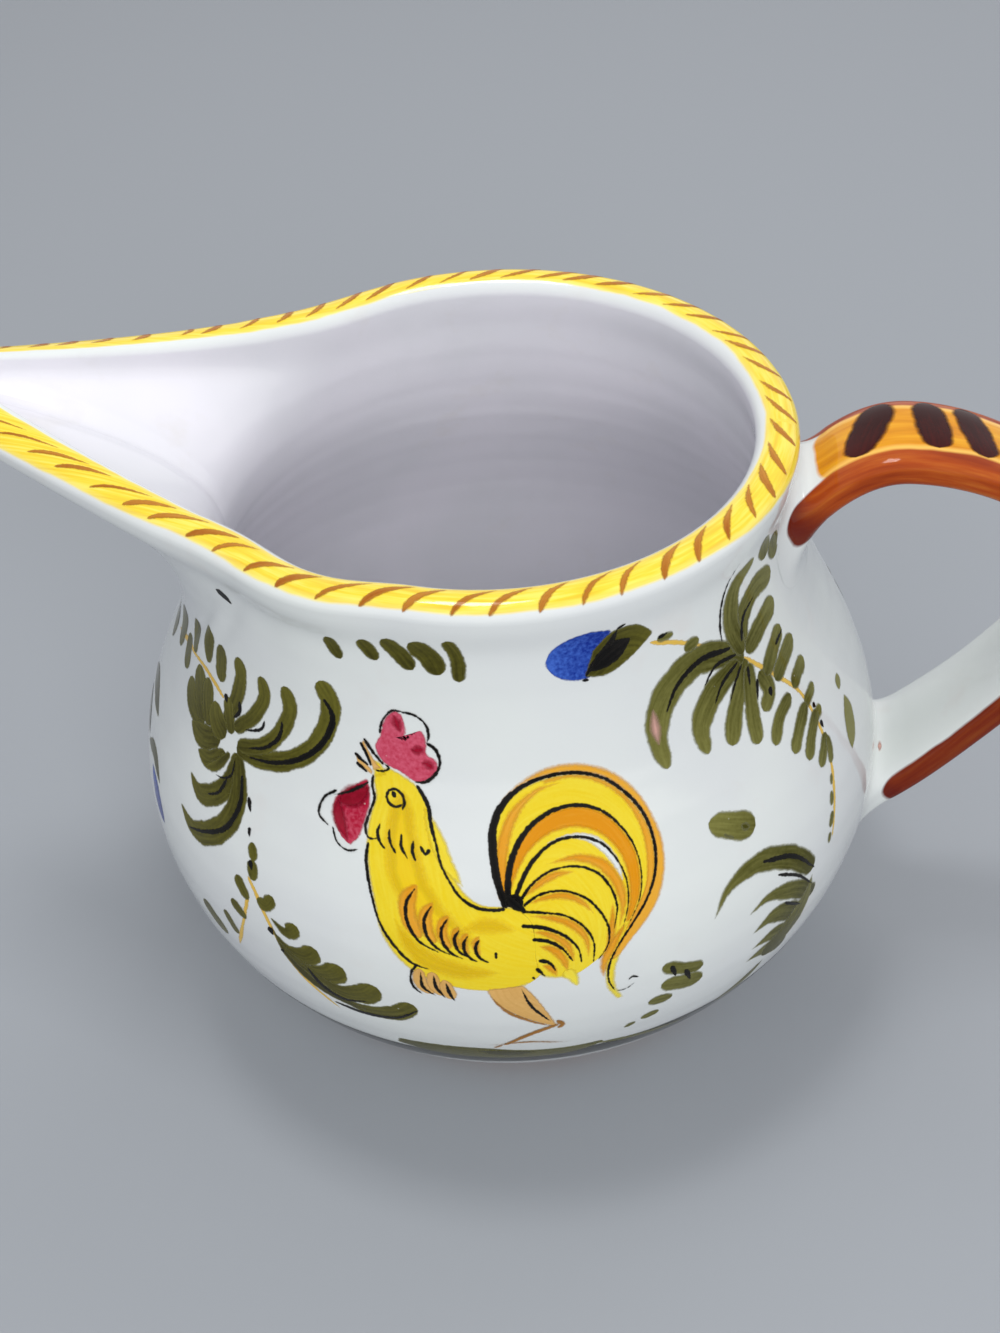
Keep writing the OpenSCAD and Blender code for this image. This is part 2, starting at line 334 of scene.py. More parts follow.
def tinGlazeColour(tree, place):
    # off-white that drifts a little in tone, with a few pinholes and specks fired into it
    # inside the jug the white turns lighter and lilac: painted light and reflection
    base = mix(tree, readShare(tree, "inside"), glaze["white"], glaze["inner"])
    cool = spread(tree, noise(tree, place, 26.0, 3.0), 0.38, 0.68, 0.0, 0.55)
    toned = mix(tree, cool, base, glaze["cool"])
    warm = spread(tree, noise(tree, place, 60.0, 4.0, Roughness=0.6), 0.60, 0.78, 0.0, 0.5)
    warmed = mix(tree, warm, toned, glaze["warm"])
    # specks about 0.3 mm across, one to every few square centimetres
    return mix(tree, spots(tree, place, 120.0, 0.93, 0.024, 0.6), warmed, glaze["speck"])


def makeTinGlaze():
    # opaque, very glossy white tin glaze; the foot is wiped bare, so clay shows at the very bottom
    material, tree, place = newMaterial("tinGlaze")
    white = tinGlazeColour(tree, place)
    high = add(tree, "SeparateXYZ", {0: place}).outputs["Z"]
    edge = reckon(tree, "MULTIPLY_ADD", noise(tree, place, 45.0, 2.0), 0.0022, 0.0026)
    bare = spread(tree, reckon(tree, "SUBTRACT", high, edge), -0.0002, 0.0003, 1.0, 0.0)
    glossyCoat(tree, place, mix(tree, bare, white, glaze["clay"]),
               roughness=spread(tree, bare, 0.0, 1.0, glaze["roughness"], 0.75))
    return material


def makeRimGlaze():
    # antimony yellow brushed round the lip over the tin glaze: streaky, thinner where the brush lifted
    material, tree, place = newMaterial("rimYellow")
    white = tinGlazeColour(tree, place)
    edge = reckon(tree, "MULTIPLY_ADD", noise(tree, place, 110.0, 2.0), 1.3, -0.65)
    inset = reckon(tree, "ADD", readShare(tree, "inBand"), edge)
    tone = ramp(tree, brushStreaks(tree, (2.2, 26.0), 4.0, 3.0),
                (0.28, "E7BE1E"), (0.48, "F2D32C"), (0.66, "F7E25A"))
    paler = mix(tree, spread(tree, inset, 0.1, 1.3, 0.45, 0.0), tone, "F3E58C")
    glossyCoat(tree, place, mix(tree, spread(tree, inset, -0.22, 0.3), white, paler))
    return material


def makeStrapGlaze():
    # orange panel on the face, iron brown on the edges and bare white glaze inside, all brushed by hand
    material, tree, place = newMaterial("strapGlaze")
    white = tinGlazeColour(tree, place)
    edge = reckon(tree, "MULTIPLY_ADD", noise(tree, place, 95.0, 2.0), 1.8, -0.9)
    panelIn = reckon(tree, "ADD", readShare(tree, "panel"), edge)
    bandIn = reckon(tree, "ADD", readShare(tree, "band"), edge)
    streak = brushStreaks(tree, (2.0, 15.0), 3.0, 4.0)
    orange = ramp(tree, streak, (0.3, "C97A02"), (0.5, "DB9008"), (0.7, "E7A61C"))
    brown = ramp(tree, streak, (0.3, "8E3208"), (0.5, "A6450F"), (0.72, "BE6420"))
    # brown pooled darker at the strap's ends, and painted shade over its lower half
    darker = mix(tree, readShare(tree, "endPoolAndShade"), brown, "5E0F04")
    haloed = mix(tree, spread(tree, bandIn, -1.5, -0.5, 0.0, 0.8), orange, "F6C462")
    withPanel = mix(tree, spread(tree, panelIn, -0.3, 0.5), white, haloed)
    withBand = mix(tree, spread(tree, bandIn, -0.25, 0.45), withPanel, darker)
    glossyCoat(tree, place, withBand, shine=glaze["strapShine"])
    return material


def makeBareClay():
    # fired buff-red earthenware, turned and wiped: matt, with fine grog and turning lines
    material, tree, place = newMaterial("bareEarthenware")
    grog = noise(tree, place, 900.0, 4.0)
    tone = ramp(tree, noise(tree, place, 60.0, 3.0), (0.3, "A8704F"), (0.55, "BE8867"), (0.75, "CDA083"))
    colour = mix(tree, spread(tree, grog, 0.62, 0.75, 0.0, 0.6), tone, "7B5038")
    bump = add(tree, "Bump", {"Height": grog, "Strength": 0.5, "Distance": 0.0002})
    shader = add(tree, "BsdfPrincipled", {"Base Color": colour, "Roughness": 0.82, "Normal": bump.outputs[0]})
    add(tree, "OutputMaterial", {"Surface": shader.outputs[0]})
    return material


def makePigment(name, thin, full, edgeTone, grain=0.25, feather=0.28, specksAndGlints=0.0):
    # a metal-oxide colour brushed on the raw glaze: it sinks in and fires as glossy as the white,
    # another tone where it thinned or pooled at the stroke's edge, and granular where the brush ran dry
    material, tree, place = newMaterial(name)
    edge = readShare(tree, "edge")
    speckle = noise(tree, place, 1500.0, 2.0)
    mottled = add(tree, "Mix", {0: grain, 2: brushStreaks(tree, (14.0, 160.0), 1.0, 3.0), 3: speckle},
                  data_type="FLOAT").outputs[0]
    dose = reckon(tree, "ADD", mottled, reckon(tree, "SUBTRACT", readShare(tree, "load"), 0.5))
    flat = mix(tree, spread(tree, dose, 0.25, 0.85), thin, full)
    # pale specks about 0.1 mm across: pinholes where the white shows through, and painted glints off the
    # grainy pigment
    speckledAndGlinting = mix(tree, spots(tree, place, 700.0, 0.86, 0.13, specksAndGlints), flat, "D8D8CC")
    colour = mix(tree, spread(tree, edge, 0.1, 0.7, 0.6, 0.0), speckledAndGlinting, edgeTone)
    edgeIn = reckon(tree, "ADD", edge, reckon(tree, "MULTIPLY_ADD", speckle, 0.5, -0.25))
    glossyCoat(tree, place, colour, spread(tree, edgeIn, 0.0, feather), glaze["pigmentShine"])
    return material


tinGlaze = makeTinGlaze()
rimYellow = makeRimGlaze()
strapGlaze = makeStrapGlaze()
bareEarthenware = makeBareClay()
pigments = {
    "olive": makePigment("coppery_olive", "6C6824", "3C390C", "77743C", feather=0.42, specksAndGlints=0.5),
    # the olive painted paler and greyer: a painted sheen on the leaves beside the handle
    "sheenOlive": makePigment("olive_painted_sheen", "7C7A40", "45430F", "A0A07C", feather=0.6, specksAndGlints=0.3),
    # near-black olive for the painted shade round the base
    "ring": makePigment("ring_olive_painted_shade", "3E3D2E", "211F18", "55543F", feather=1.0),
    "black": makePigment("manganese_black", "2A2622", "0C0B0A", "201E1A", feather=0.2),
    "yellow": makePigment("antimony_yellow", "F1DF48", "ECCE22", "EDD42E", feather=0.8),
    "deepYellow": makePigment("deep_antimony_yellow", "EDCB20", "E9BC12", "EDCB20", feather=2.8),
    "orange": makePigment("antimony_orange", "E8AA38", "DE9010", "EAB444", feather=0.9),
    "red": makePigment("carmine_red", "D46078", "AC1434", "C8465E", grain=0.75, feather=0.5, specksAndGlints=0.5),
    "wine": makePigment("wine_red", "A01430", "780418", "A82440", grain=0.6, feather=1.1),
    "brown": makePigment("iron_brown", "C08434", "9C5616", "BC8230", feather=0.5),
    "shank": makePigment("shank_brown", "B88440", "8E5E22", "B88440", feather=0.4),
    "tan": makePigment("tan_orange", "E2B46C", "CC9A50", "D8A860", feather=0.5),
    "stem": makePigment("stem_yellow", "E4BC50", "D2A238", "E4C468", feather=0.3),
    "maroon": makePigment("dark_maroon", "4E0A04", "2C0000", "8A4A10", feather=0.9),
    "blue": makePigment("cobalt_blue", "4A74D4", "122E8C", "2446A4", grain=0.85, feather=0.4, specksAndGlints=0.5),
    "blush": makePigment("pink_brown", "CDA093", "B8786A", "CFA79A", grain=0.5, feather=1.2),
    "white": makePigment("bare_tin_glaze", "E3E6E3", "DFE3E0", "DFE3E0", feather=0.5),
}
print("finishes made")

# The thrown jug: belly, neck, spout and rolled rim as one skin.
jug = {
    "rimHeight": 125.22, "bellyRadius": 75.0, "bellyHeight": 50.0, "neckRadius": 54.5,
    "wall": 6.0, "floor": 6.0, "footRadius": 50.0, "footHeight": 3.0,
    "beadHeight": 6.4, "beadProud": 1.0, "tipSlim": 0.35,
    "spoutReach": 109.0, "tipRadius": 7.5, "tipLift": 10.0, "liftPower": 1.3,
    "cheekFull": 2.0, "cheekDip": 1.4, "cheekStart": 36.0, "dipStart": 26.0, "spoutHalf": 80.0,
    "spoutRoot": 80.0, "channelStep": 4.0, "outsidePower": 2.3, "channelPower": 3.2,
    "blend": 5.0,          # how far the roll of the lip runs out into the wall
    "columns": 420, "beadRows": 24, "floorRows": 12,
    "yellowFrom": 36.0, "yellowTo": 128.0,      # degrees over the roll, from outside to inside
}
lipHeight = jug["rimHeight"] - jug["beadHeight"]
floorHeight = jug["footHeight"] + jug["floor"]


def wallCurves():
    # outside profile from the foot to the lip and inside profile of the bowl, as in the solids
    b, z, n = jug["bellyRadius"], jug["bellyHeight"], jug["neckRadius"]
    foot = np.array([jug["footRadius"] * 1.03, jug["footHeight"]])
    base = [foot, foot + [0.72 * (b - foot[0]), 0.33 * (z - foot[1])], [b, z - 0.32 * (z - foot[1])], [b, z]]
    shoulder = [[b, z], [b, z + 0.34 * (lipHeight - z)], [n, lipHeight - 0.42 * (lipHeight - z)],
                [n, lipHeight]]
    bi, f = b - jug["wall"], jug["footRadius"] - 2 * jug["wall"]
    bowl = [[f, floorHeight], [bi - jug["wall"], floorHeight], [bi, z - 0.32 * (z - floorHeight)], [bi, z]]
    return base, shoulder, bowl


baseCurve, shoulderCurve, bowlCurve = wallCurves()
shoulderLine = curve(shoulderCurve, np.linspace(0, 1, 400))


def neckAt(z):
    return np.interp(z, shoulderLine[:, 1], shoulderLine[:, 0])


straightEnd = math.degrees(math.acos((jug["neckRadius"] - jug["tipRadius"])
                                     / (jug["spoutReach"] - jug["tipRadius"])))


def hump(a, first, last):
    # one smooth wave, 1 high in the middle, between two turns
    return np.where((a > first) & (a < last), np.sin(np.pi * (a - first) / (last - first)) ** 2, 0)


def planRadius(turn, inset):
    # plan of the rim: a round neck and a small round tip joined by straight sides, with full cheeks
    r, tip = jug["neckRadius"] - inset, jug["tipRadius"] - inset
    centre = jug["spoutReach"] - jug["tipRadius"]
    a = np.abs(turn)
    side = math.radians(straightEnd)
    meets = math.degrees(math.atan2(tip * math.sin(side), centre + tip * math.cos(side)))
    cheek = jug["cheekFull"] * hump(a, jug["cheekStart"], jug["spoutHalf"])
    at = np.radians(a)
    tipped = centre * np.cos(at) + np.sqrt(np.maximum(tip * tip - (centre * np.sin(at)) ** 2, 0))
    straight = r / np.cos(np.clip(side - at, 0, 1.5)) + cheek
    return np.where(a >= straightEnd, r + cheek, np.where(a >= meets, straight, tipped))


def spoutShare(turn):
    # 0 at the neck, 1 at the tip
    reach = planRadius(turn, 0) * np.cos(np.radians(turn)) - jug["neckRadius"]
    return np.maximum(0, reach / (jug["spoutReach"] - jug["neckRadius"]))


def rimDepth(turn):
    return jug["beadHeight"] * (1 - jug["tipSlim"] * spoutShare(turn))


def wallTop(turn):
    lift = jug["tipLift"] * spoutShare(turn) ** jug["liftPower"]
    dip = jug["cheekDip"] * hump(np.abs(turn), jug["dipStart"], jug["spoutHalf"])
    return jug["rimHeight"] + lift - dip - rimDepth(turn)


def jugTurns():
    # columns closer together where the plan of the rim is long or tightly curved
    fine = np.linspace(-180, 180, 7201)
    r = planRadius(fine, 0)
    x, y = -r * np.cos(np.radians(fine)), -r * np.sin(np.radians(fine))
    length = np.concatenate([[0], np.cumsum(np.hypot(np.diff(x), np.diff(y)))])
    weight = length + 0.9 * np.radians(fine + 180) * 60 + 16 * np.tanh(fine / 6)
    at = np.linspace(weight[0], weight[-1], jug["columns"] + 1)[:-1]
    return np.interp(at, weight, fine), np.interp(at, weight, length), length[-1]


def upProfile(turn, inset, root, power, share):
    # wall between the root and the top: the neck's own curve plus the outward growth of the spout
    top = wallTop(turn)
    z = root + (top - root) * share
    grow = planRadius(turn, inset) - (jug["neckRadius"] - inset)
    return neckAt(z) - inset + grow * share ** power, z


def flank(turn, inset, root, power, leave, bead, t):
    # the roll of the lip leaves the wall along its own slope and stands upright at the waist of the bead
    r0, z0 = upProfile(turn, inset, root, power, leave)
    r1, z1 = upProfile(turn, inset, root, power, leave - 0.01)
    slope = unit(np.stack([r0 - r1, z0 - z1], -1))
    start = np.stack([r0, z0], -1)
    reach = np.linalg.norm(bead - start, axis=-1, keepdims=True) * 0.4
    t = t[..., None]
    return ((1 - t) ** 3 * start + 3 * t * (1 - t) ** 2 * (start + slope * reach)
            + 3 * t * t * (1 - t) * (bead - np.array([0.0, 1.0]) * reach) + t ** 3 * bead)


def jugGrid():
    # rows from the middle of the underside, up the outside, over the lip and down the inside to the middle
    turns, along, total = jugTurns()
    turn = turns[None, :]
    one = np.ones_like(turn)
    rows, marks = [], {}

    def put(name, r, z):
        start = sum(len(p) for p in rows)
        rows.append(np.stack([r * one, z * one], -1))
        marks[name] = (start, start + len(rows[-1]))

    def col(values):
        return np.asarray(values, float)[:, None]

    put("under", col(np.linspace(0, 49, 9)), col(np.full(9, jug["footHeight"])))
    edge = curve([[50.2, 3.0], [51.0, 3.0], [51.7, 3.2], curve(baseCurve, [0.03])[0]], np.linspace(0, 1, 5))
    put("edge", col(edge[:, 0]), col(edge[:, 1]))
    low = curve(baseCurve, np.linspace(0.03, 1, 42)[1:])
    put("low", col(low[:, 0]), col(low[:, 1]))
    z = np.linspace(jug["bellyHeight"], jug["spoutRoot"], 26)[1:]
    put("belly", col(neckAt(z)), col(z))
    top = wallTop(turn)
    slopeOut = (planRadius(turn, 0) - jug["neckRadius"]) * jug["outsidePower"] / (top - jug["spoutRoot"])
    startOut = 1 - jug["blend"] / (top - jug["spoutRoot"]) / np.sqrt(1 + slopeOut ** 2)
    share = col(np.linspace(0, 1, 30)[1:]) * startOut
    r, z = upProfile(turn, 0, jug["spoutRoot"], jug["outsidePower"], share)
    put("neck", r, z)
    inner, outer = planRadius(turn, jug["wall"]), planRadius(turn, 0)
    middle, half = (inner + outer) / 2, (outer - inner) / 2 * (1 + 2 * jug["beadProud"] / jug["wall"])
    waist = rimDepth(turn) / 2
    outBead = np.stack([middle + half, top + waist], -1)
    t = col(np.linspace(0, 1, 9)[1:])
    shape = flank(turn, 0, jug["spoutRoot"], jug["outsidePower"], startOut, outBead, t)
    put("flankOut", shape[..., 0], shape[..., 1])
    a = np.radians(col(np.linspace(0, 180, jug["beadRows"] + 1)[1:]))
    put("bead", middle + half * np.cos(a), top + waist + waist * np.sin(a))
    root = jug["spoutRoot"] + jug["channelStep"]
    growIn = planRadius(turn, jug["wall"]) - (jug["neckRadius"] - jug["wall"])
    slopeIn = growIn * jug["channelPower"] / (top - root)
    startIn = 1 - jug["blend"] / (top - root) / np.sqrt(1 + slopeIn ** 2)
    inBead = np.stack([middle - half, top + waist], -1)
    shape = flank(turn, jug["wall"], root, jug["channelPower"], startIn, inBead,
                  col(np.linspace(1, 0, 9)[1:]))
    put("flankIn", shape[..., 0], shape[..., 1])
    share = col(np.linspace(1, 0, 30)[1:]) * startIn
    r, z = upProfile(turn, jug["wall"], root, jug["channelPower"], share)
    put("throat", r, z)
    z = np.linspace(root, jug["bellyHeight"], 26)[1:]
    put("bowl", col(neckAt(z) - jug["wall"]), col(z))
    low = curve(bowlCurve, np.linspace(1, 0, 36)[1:])
    put("bowlLow", col(low[:, 0]), col(low[:, 1]))
    put("floor", col(np.linspace(37, 0, jug["floorRows"])), col(np.full(jug["floorRows"], floorHeight)))
    rz = np.concatenate(rows)
    return turns, along, total, rz, marks


turns, rimAlong, rimLength, profile, marks = jugGrid()


def handWork(turn, rz, marks):
    # what the potter's hands leave: throwing rings, a slightly wandering wall, and folds by the drawn spout
    a = np.radians(turn)[None, :]
    r, z = rz[..., 0], rz[..., 1]
    rows = np.arange(len(rz))[:, None]
    outside = ((rows >= marks["low"][0]) & (rows < marks["bead"][0])).astype(float)
    inside = (rows >= marks["flankIn"][0]).astype(float)
    body = smoothStep(6, 22, z) * (1 - smoothStep(112, 120, z))
    rings = (0.030 * np.sin(2 * np.pi * z / 7.3 + a + 0.7 * np.sin(2 * a))
             + 0.012 * np.sin(2 * np.pi * z / 4.1 - a))
    wander = 0.16 * np.sin(2 * a + z / 31) + 0.10 * np.sin(3 * a - z / 19 + 1.0) - 0.26
    move = outside * body * (0.7 * rings + wander)
    calm = smoothStep(12, 30, z) * (1 - smoothStep(108, 120, z))
    move = move + inside * calm * (1.5 * rings - wander * 0.5)
    # folds and finger dents on both sides of the root of the spout: turn, height, spread in each, lean, depth
    for at, high, wide, tall, lean, depth in (
            (30, 100, 2.6, 11, 0.75, -0.95), (39, 106, 3.2, 9, 0.55, -0.75), (22, 95, 3.0, 9, 0.9, -0.6),
            (34, 103, 2.2, 10, 0.65, 0.45), (50, 111, 7.0, 5, 0.2, -0.4), (63, 113, 6, 3.5, 0.1, -0.25),
            (-31, 101, 2.8, 11, 0.7, -0.8), (-41, 107, 3.4, 8, 0.5, -0.6)):
        side = 1 if at > 0 else -1
        du = side * (turn[None, :] - at) - lean * (z - high)
        move = move + outside * depth * np.exp(-(du / wide) ** 2 - ((z - high) / tall) ** 2)
    out = rz.copy()
    out[..., 0] = r + move
    return out


profile = handWork(turns, profile, marks)
angle = np.radians(turns)[None, :]
jugPoints = np.stack([-profile[..., 0] * np.cos(angle), -profile[..., 0] * np.sin(angle), profile[..., 1]],
                     -1)
jugPoints[0, :, :2] = 0
jugPoints[-1, :, :2] = 0
jugNormals = gridNormals(jugPoints, True)
jugNormals[:marks["under"][1] - 1] = (0, 0, -1)
jugNormals[-jug["floorRows"]:] = (0, 0, 1)
rowCount, columnCount = jugPoints.shape[:2]
jugFaces = gridFaces(rowCount, columnCount, True)
# the first and last rows are single points
jugFaces[0, :, :2] = 0
jugFaces[-1, :, 2:] = (rowCount - 1) * columnCount

# distances along each column, for the painting and for the yellow band
steps = np.linalg.norm(np.diff(jugPoints, axis=0), axis=-1)
rise = np.concatenate([np.zeros((1, columnCount)), np.cumsum(steps, axis=0)])
wallRise = rise - rise[marks["low"][0]][None, :]

beadLast = marks["bead"][1]


def beadRow(degrees):
    # row of the skin at an angle over the roll of the lip
    return marks["flankOut"][1] - 1 + round(degrees / 180 * jug["beadRows"])


waistRow, topRow = beadRow(0), beadRow(90)
beadArc = rise - rise[topRow][None, :]        # 0 on the crest, negative outside
# the yellow starts lower on the spout, and lowest near its tip
bandOut = (rise[beadRow(jug["yellowFrom"])] - rise[topRow] - 1.8 * spoutShare(turns)
           - 1.5 * smoothStep(125, 165, np.abs(turns)))
bandIn = rise[beadRow(jug["yellowTo"])] - rise[topRow]
inBand = np.minimum(beadArc - bandOut[None, :], bandIn[None, :] - beadArc)

# share of the inside's painted light and lilac reflection, blended in over the last rows of the lip
insideShare = np.zeros((rowCount, columnCount))
insideShare[beadLast:] = 1
insideShare[beadLast - 5:beadLast] = np.linspace(0, 1, 5)[:, None]
jugUv = np.stack([np.broadcast_to(rimAlong[None, :] / 100, rise.shape), rise / 100], -1)


def jugPiece(name, mask, material, stands):
    return makePiece(name, jugPoints, jugFaces[mask], material, stands, jugNormals, jugUv,
                     {"inside": insideShare, "inBand": inBand})


rowIndex = np.arange(rowCount - 1)[:, None] * np.ones((1, columnCount), int)
turnNow = turns[None, :] * np.ones((rowCount - 1, 1))
isRim = (rowIndex >= marks["flankOut"][0]) & (rowIndex < marks["flankIn"][1] - 1)
neckRow = marks["belly"][1] - 1
throatEnd = marks["throat"][1] - 1
isSpout = (np.abs(turnNow) < jug["spoutHalf"]) & (rowIndex >= neckRow) & (rowIndex < throatEnd) & ~isRim
jugPiece("jug_body", ~isRim & ~isSpout, tinGlaze, ("body",))
jugPiece("jug_spout", isSpout, tinGlaze, ("spout",))
jugPiece("rolled_lip", isRim, rimYellow, ("rolled_rim",))
print("jug skin made:", rowCount, "rows of", columnCount)


def makeFoot():
    # the foot ring, turned from the same clay and left bare: a profile with softened corners carried
    # round the axis, with fine turning lines on its faces
    outline = np.array([[43.6, 3.4], [44.4, 1.2], [45.2, 0.25], [46.2, 0.0], [47.6, 0.0], [48.8, 0.15],
                        [49.6, 0.8], [50.0, 1.8], [50.1, 2.6], [50.3, 3.3]])
    line = throughPoints(outline, 40)
    line[:, 1] = np.maximum(line[:, 1], 0)
    a = np.radians(np.linspace(0, 360, 240, endpoint=False))
    r = line[:, 0][:, None] + 0.03 * np.sin(line[:, 1][:, None] * 14 + a[None, :])
    points = np.stack([r * np.cos(a), r * np.sin(a), np.broadcast_to(line[:, 1][:, None], r.shape)], -1)
    normals = -gridNormals(points, True)
    faces = gridFaces(len(line), len(a), True)[..., ::-1]
    makePiece("foot_ring_turned", points, faces, bareEarthenware, ("foot_ring",), normals)


makeFoot()


# The pulled strap handle and the clay that joins it to the wall.
strap = {
    "width": 21.0, "thickness": 7.0, "flare": 0.2, "squareness": 3.4,
    "crownRise": -1.1, "crownGap": 20.0, "fingerGap": 33.0, "backHeight": 92.0,
    "upperRoot": 108.0, "lowerRoot": 39.0,
    "upperSlope": (0.5, 0.87), "lowerSlope": (0.94, 0.34), "depth": 7.2,
    "fillet": (9.0, 9.0), "spread": (8.0, 6.5),      # along the strap and over the wall, upper and lower root
    "rows": 190, "around": 88, "filletRows": 14,
    "rootRun": 14.0,            # length that the painting counts over each root
    # half width and corner radius of a painted patch, and its distance from the first and the last end
    "panel": (9.6, 6.0, 15.5, 14.0), "band": (5.9, 4.8, 6.0, 11.0),
}


def strapLine():
    # centre line in the plane of the handle: neck, crown, back and belly, as in the solids
    n, b, t = jug["neckRadius"], jug["bellyRadius"], strap["thickness"]
    crown = np.array([n + strap["crownGap"], jug["rimHeight"] + strap["crownRise"] - t / 2])
    back = np.array([b + strap["fingerGap"] + t / 2, strap["backHeight"]])
    up, down = np.array(strap["upperSlope"]), np.array(strap["lowerSlope"])
    first = np.array([neckAt(strap["upperRoot"]), strap["upperRoot"]]) - strap["depth"] * up
    last = np.array([b, strap["lowerRoot"]]) - strap["depth"] * down
    rise, drop = 0.62 * (crown[1] - first[1]), back[1] - last[1]
    parts = [[first, first + rise * up, crown - [0.45 * strap["crownGap"], 0], crown],
             [crown, crown + [0.45 * (back[0] - crown[0]), 0], back + [0, 0.55 * (crown[1] - back[1])], back],
             [back, back - [0, 0.26 * drop], last + 0.22 * drop * down, last]]
    line = np.concatenate([curve(p, np.linspace(0, 1, 500))[(0 if k == 0 else 1):] for k,
                           p in enumerate(parts)])
    run = np.concatenate([[0], np.cumsum(np.linalg.norm(np.diff(line, axis=0), axis=1))])
    return line, run, unit(np.gradient(line, run, axis=0))


strapPath, strapRun, strapDir = strapLine()
strapLength = strapRun[-1]


def strapPoint(run, angle):
    # point of the rounded-oblong section at a distance along the strap
    def rounded(v):
        return np.sign(v) * np.abs(v) ** (2 / strap["squareness"])

    grow = 1 + strap["flare"] * np.maximum(0, 2 * run / strapLength - 1)
    # pulled by hand, it is a little uneven along its length
    grow = grow * (1 + 0.012 * np.sin(run / 11) + 0.008 * np.sin(run / 5.3 + 1))
    across = rounded(np.cos(angle)) * strap["width"] / 2 * grow
    out = rounded(np.sin(angle)) * strap["thickness"] / 2 * grow
    side, outer = across / (strap["width"] / 2 * grow), np.sin(angle) > 0
    out = out + 0.35 * np.sin(angle) * (1 - side ** 2) - 0.25 * outer * np.sin(angle)
    x, z = np.interp(run, strapRun, strapPath[:, 0]), np.interp(run, strapRun, strapPath[:, 1])
    dx, dz = np.interp(run, strapRun, strapDir[:, 0]), np.interp(run, strapRun, strapDir[:, 1])
    return np.stack([x - dz * out, across, z + dx * out], -1)


def wallRadius(z):
    low = curve(baseCurve, np.linspace(0, 1, 200))
    return np.where(z < jug["bellyHeight"], np.interp(z, low[:, 1], low[:, 0]), neckAt(z))


def rootFillet(angles, upper):
    # where each line of the strap meets the wall, and the smooth curve that carries it out over the wall
    start = np.linspace(0, 45, 900)
    run = start if upper else strapLength - start
    lines = strapPoint(run[:, None], angles[None, :])
    gap = np.hypot(lines[..., 0], lines[..., 1]) - wallRadius(lines[..., 2])
    # the last sample inside the wall along each line
    meets = len(start) - 1 - np.argmax((gap < 0)[::-1], axis=0)
    meets = np.minimum(meets + 1, len(start) - 1)
    column = np.arange(len(angles))
    hit = lines[meets, column]
    reach, spread = strap["fillet"][0 if upper else 1], strap["spread"][0 if upper else 1]
    stop = start[meets] + reach
    stopRun = stop if upper else strapLength - stop
    on = strapPoint(stopRun, angles)
    middle = hit.mean(axis=0)
    slopeZ = (wallRadius(hit[:, 2] + 0.5) - wallRadius(hit[:, 2] - 0.5))
    azimuth = np.arctan2(hit[:, 1], hit[:, 0])
    wallNormal = unit(np.stack([np.cos(azimuth), np.sin(azimuth), -slopeZ], -1))
    away = hit - middle
    away = away - np.sum(away * wallNormal, axis=1, keepdims=True) * wallNormal
    away = unit(away * [1, 0.8, 1])
    wide = spread * (1 + 0.18 * np.cos(2 * angles + 0.6))
    foot = hit + away * wide[:, None]
    r = wallRadius(foot[:, 2]) - 0.22
    az = np.arctan2(foot[:, 1], foot[:, 0])
    foot = np.stack([r * np.cos(az), r * np.sin(az), foot[:, 2]], -1)
    return foot, hit, on, stopRun


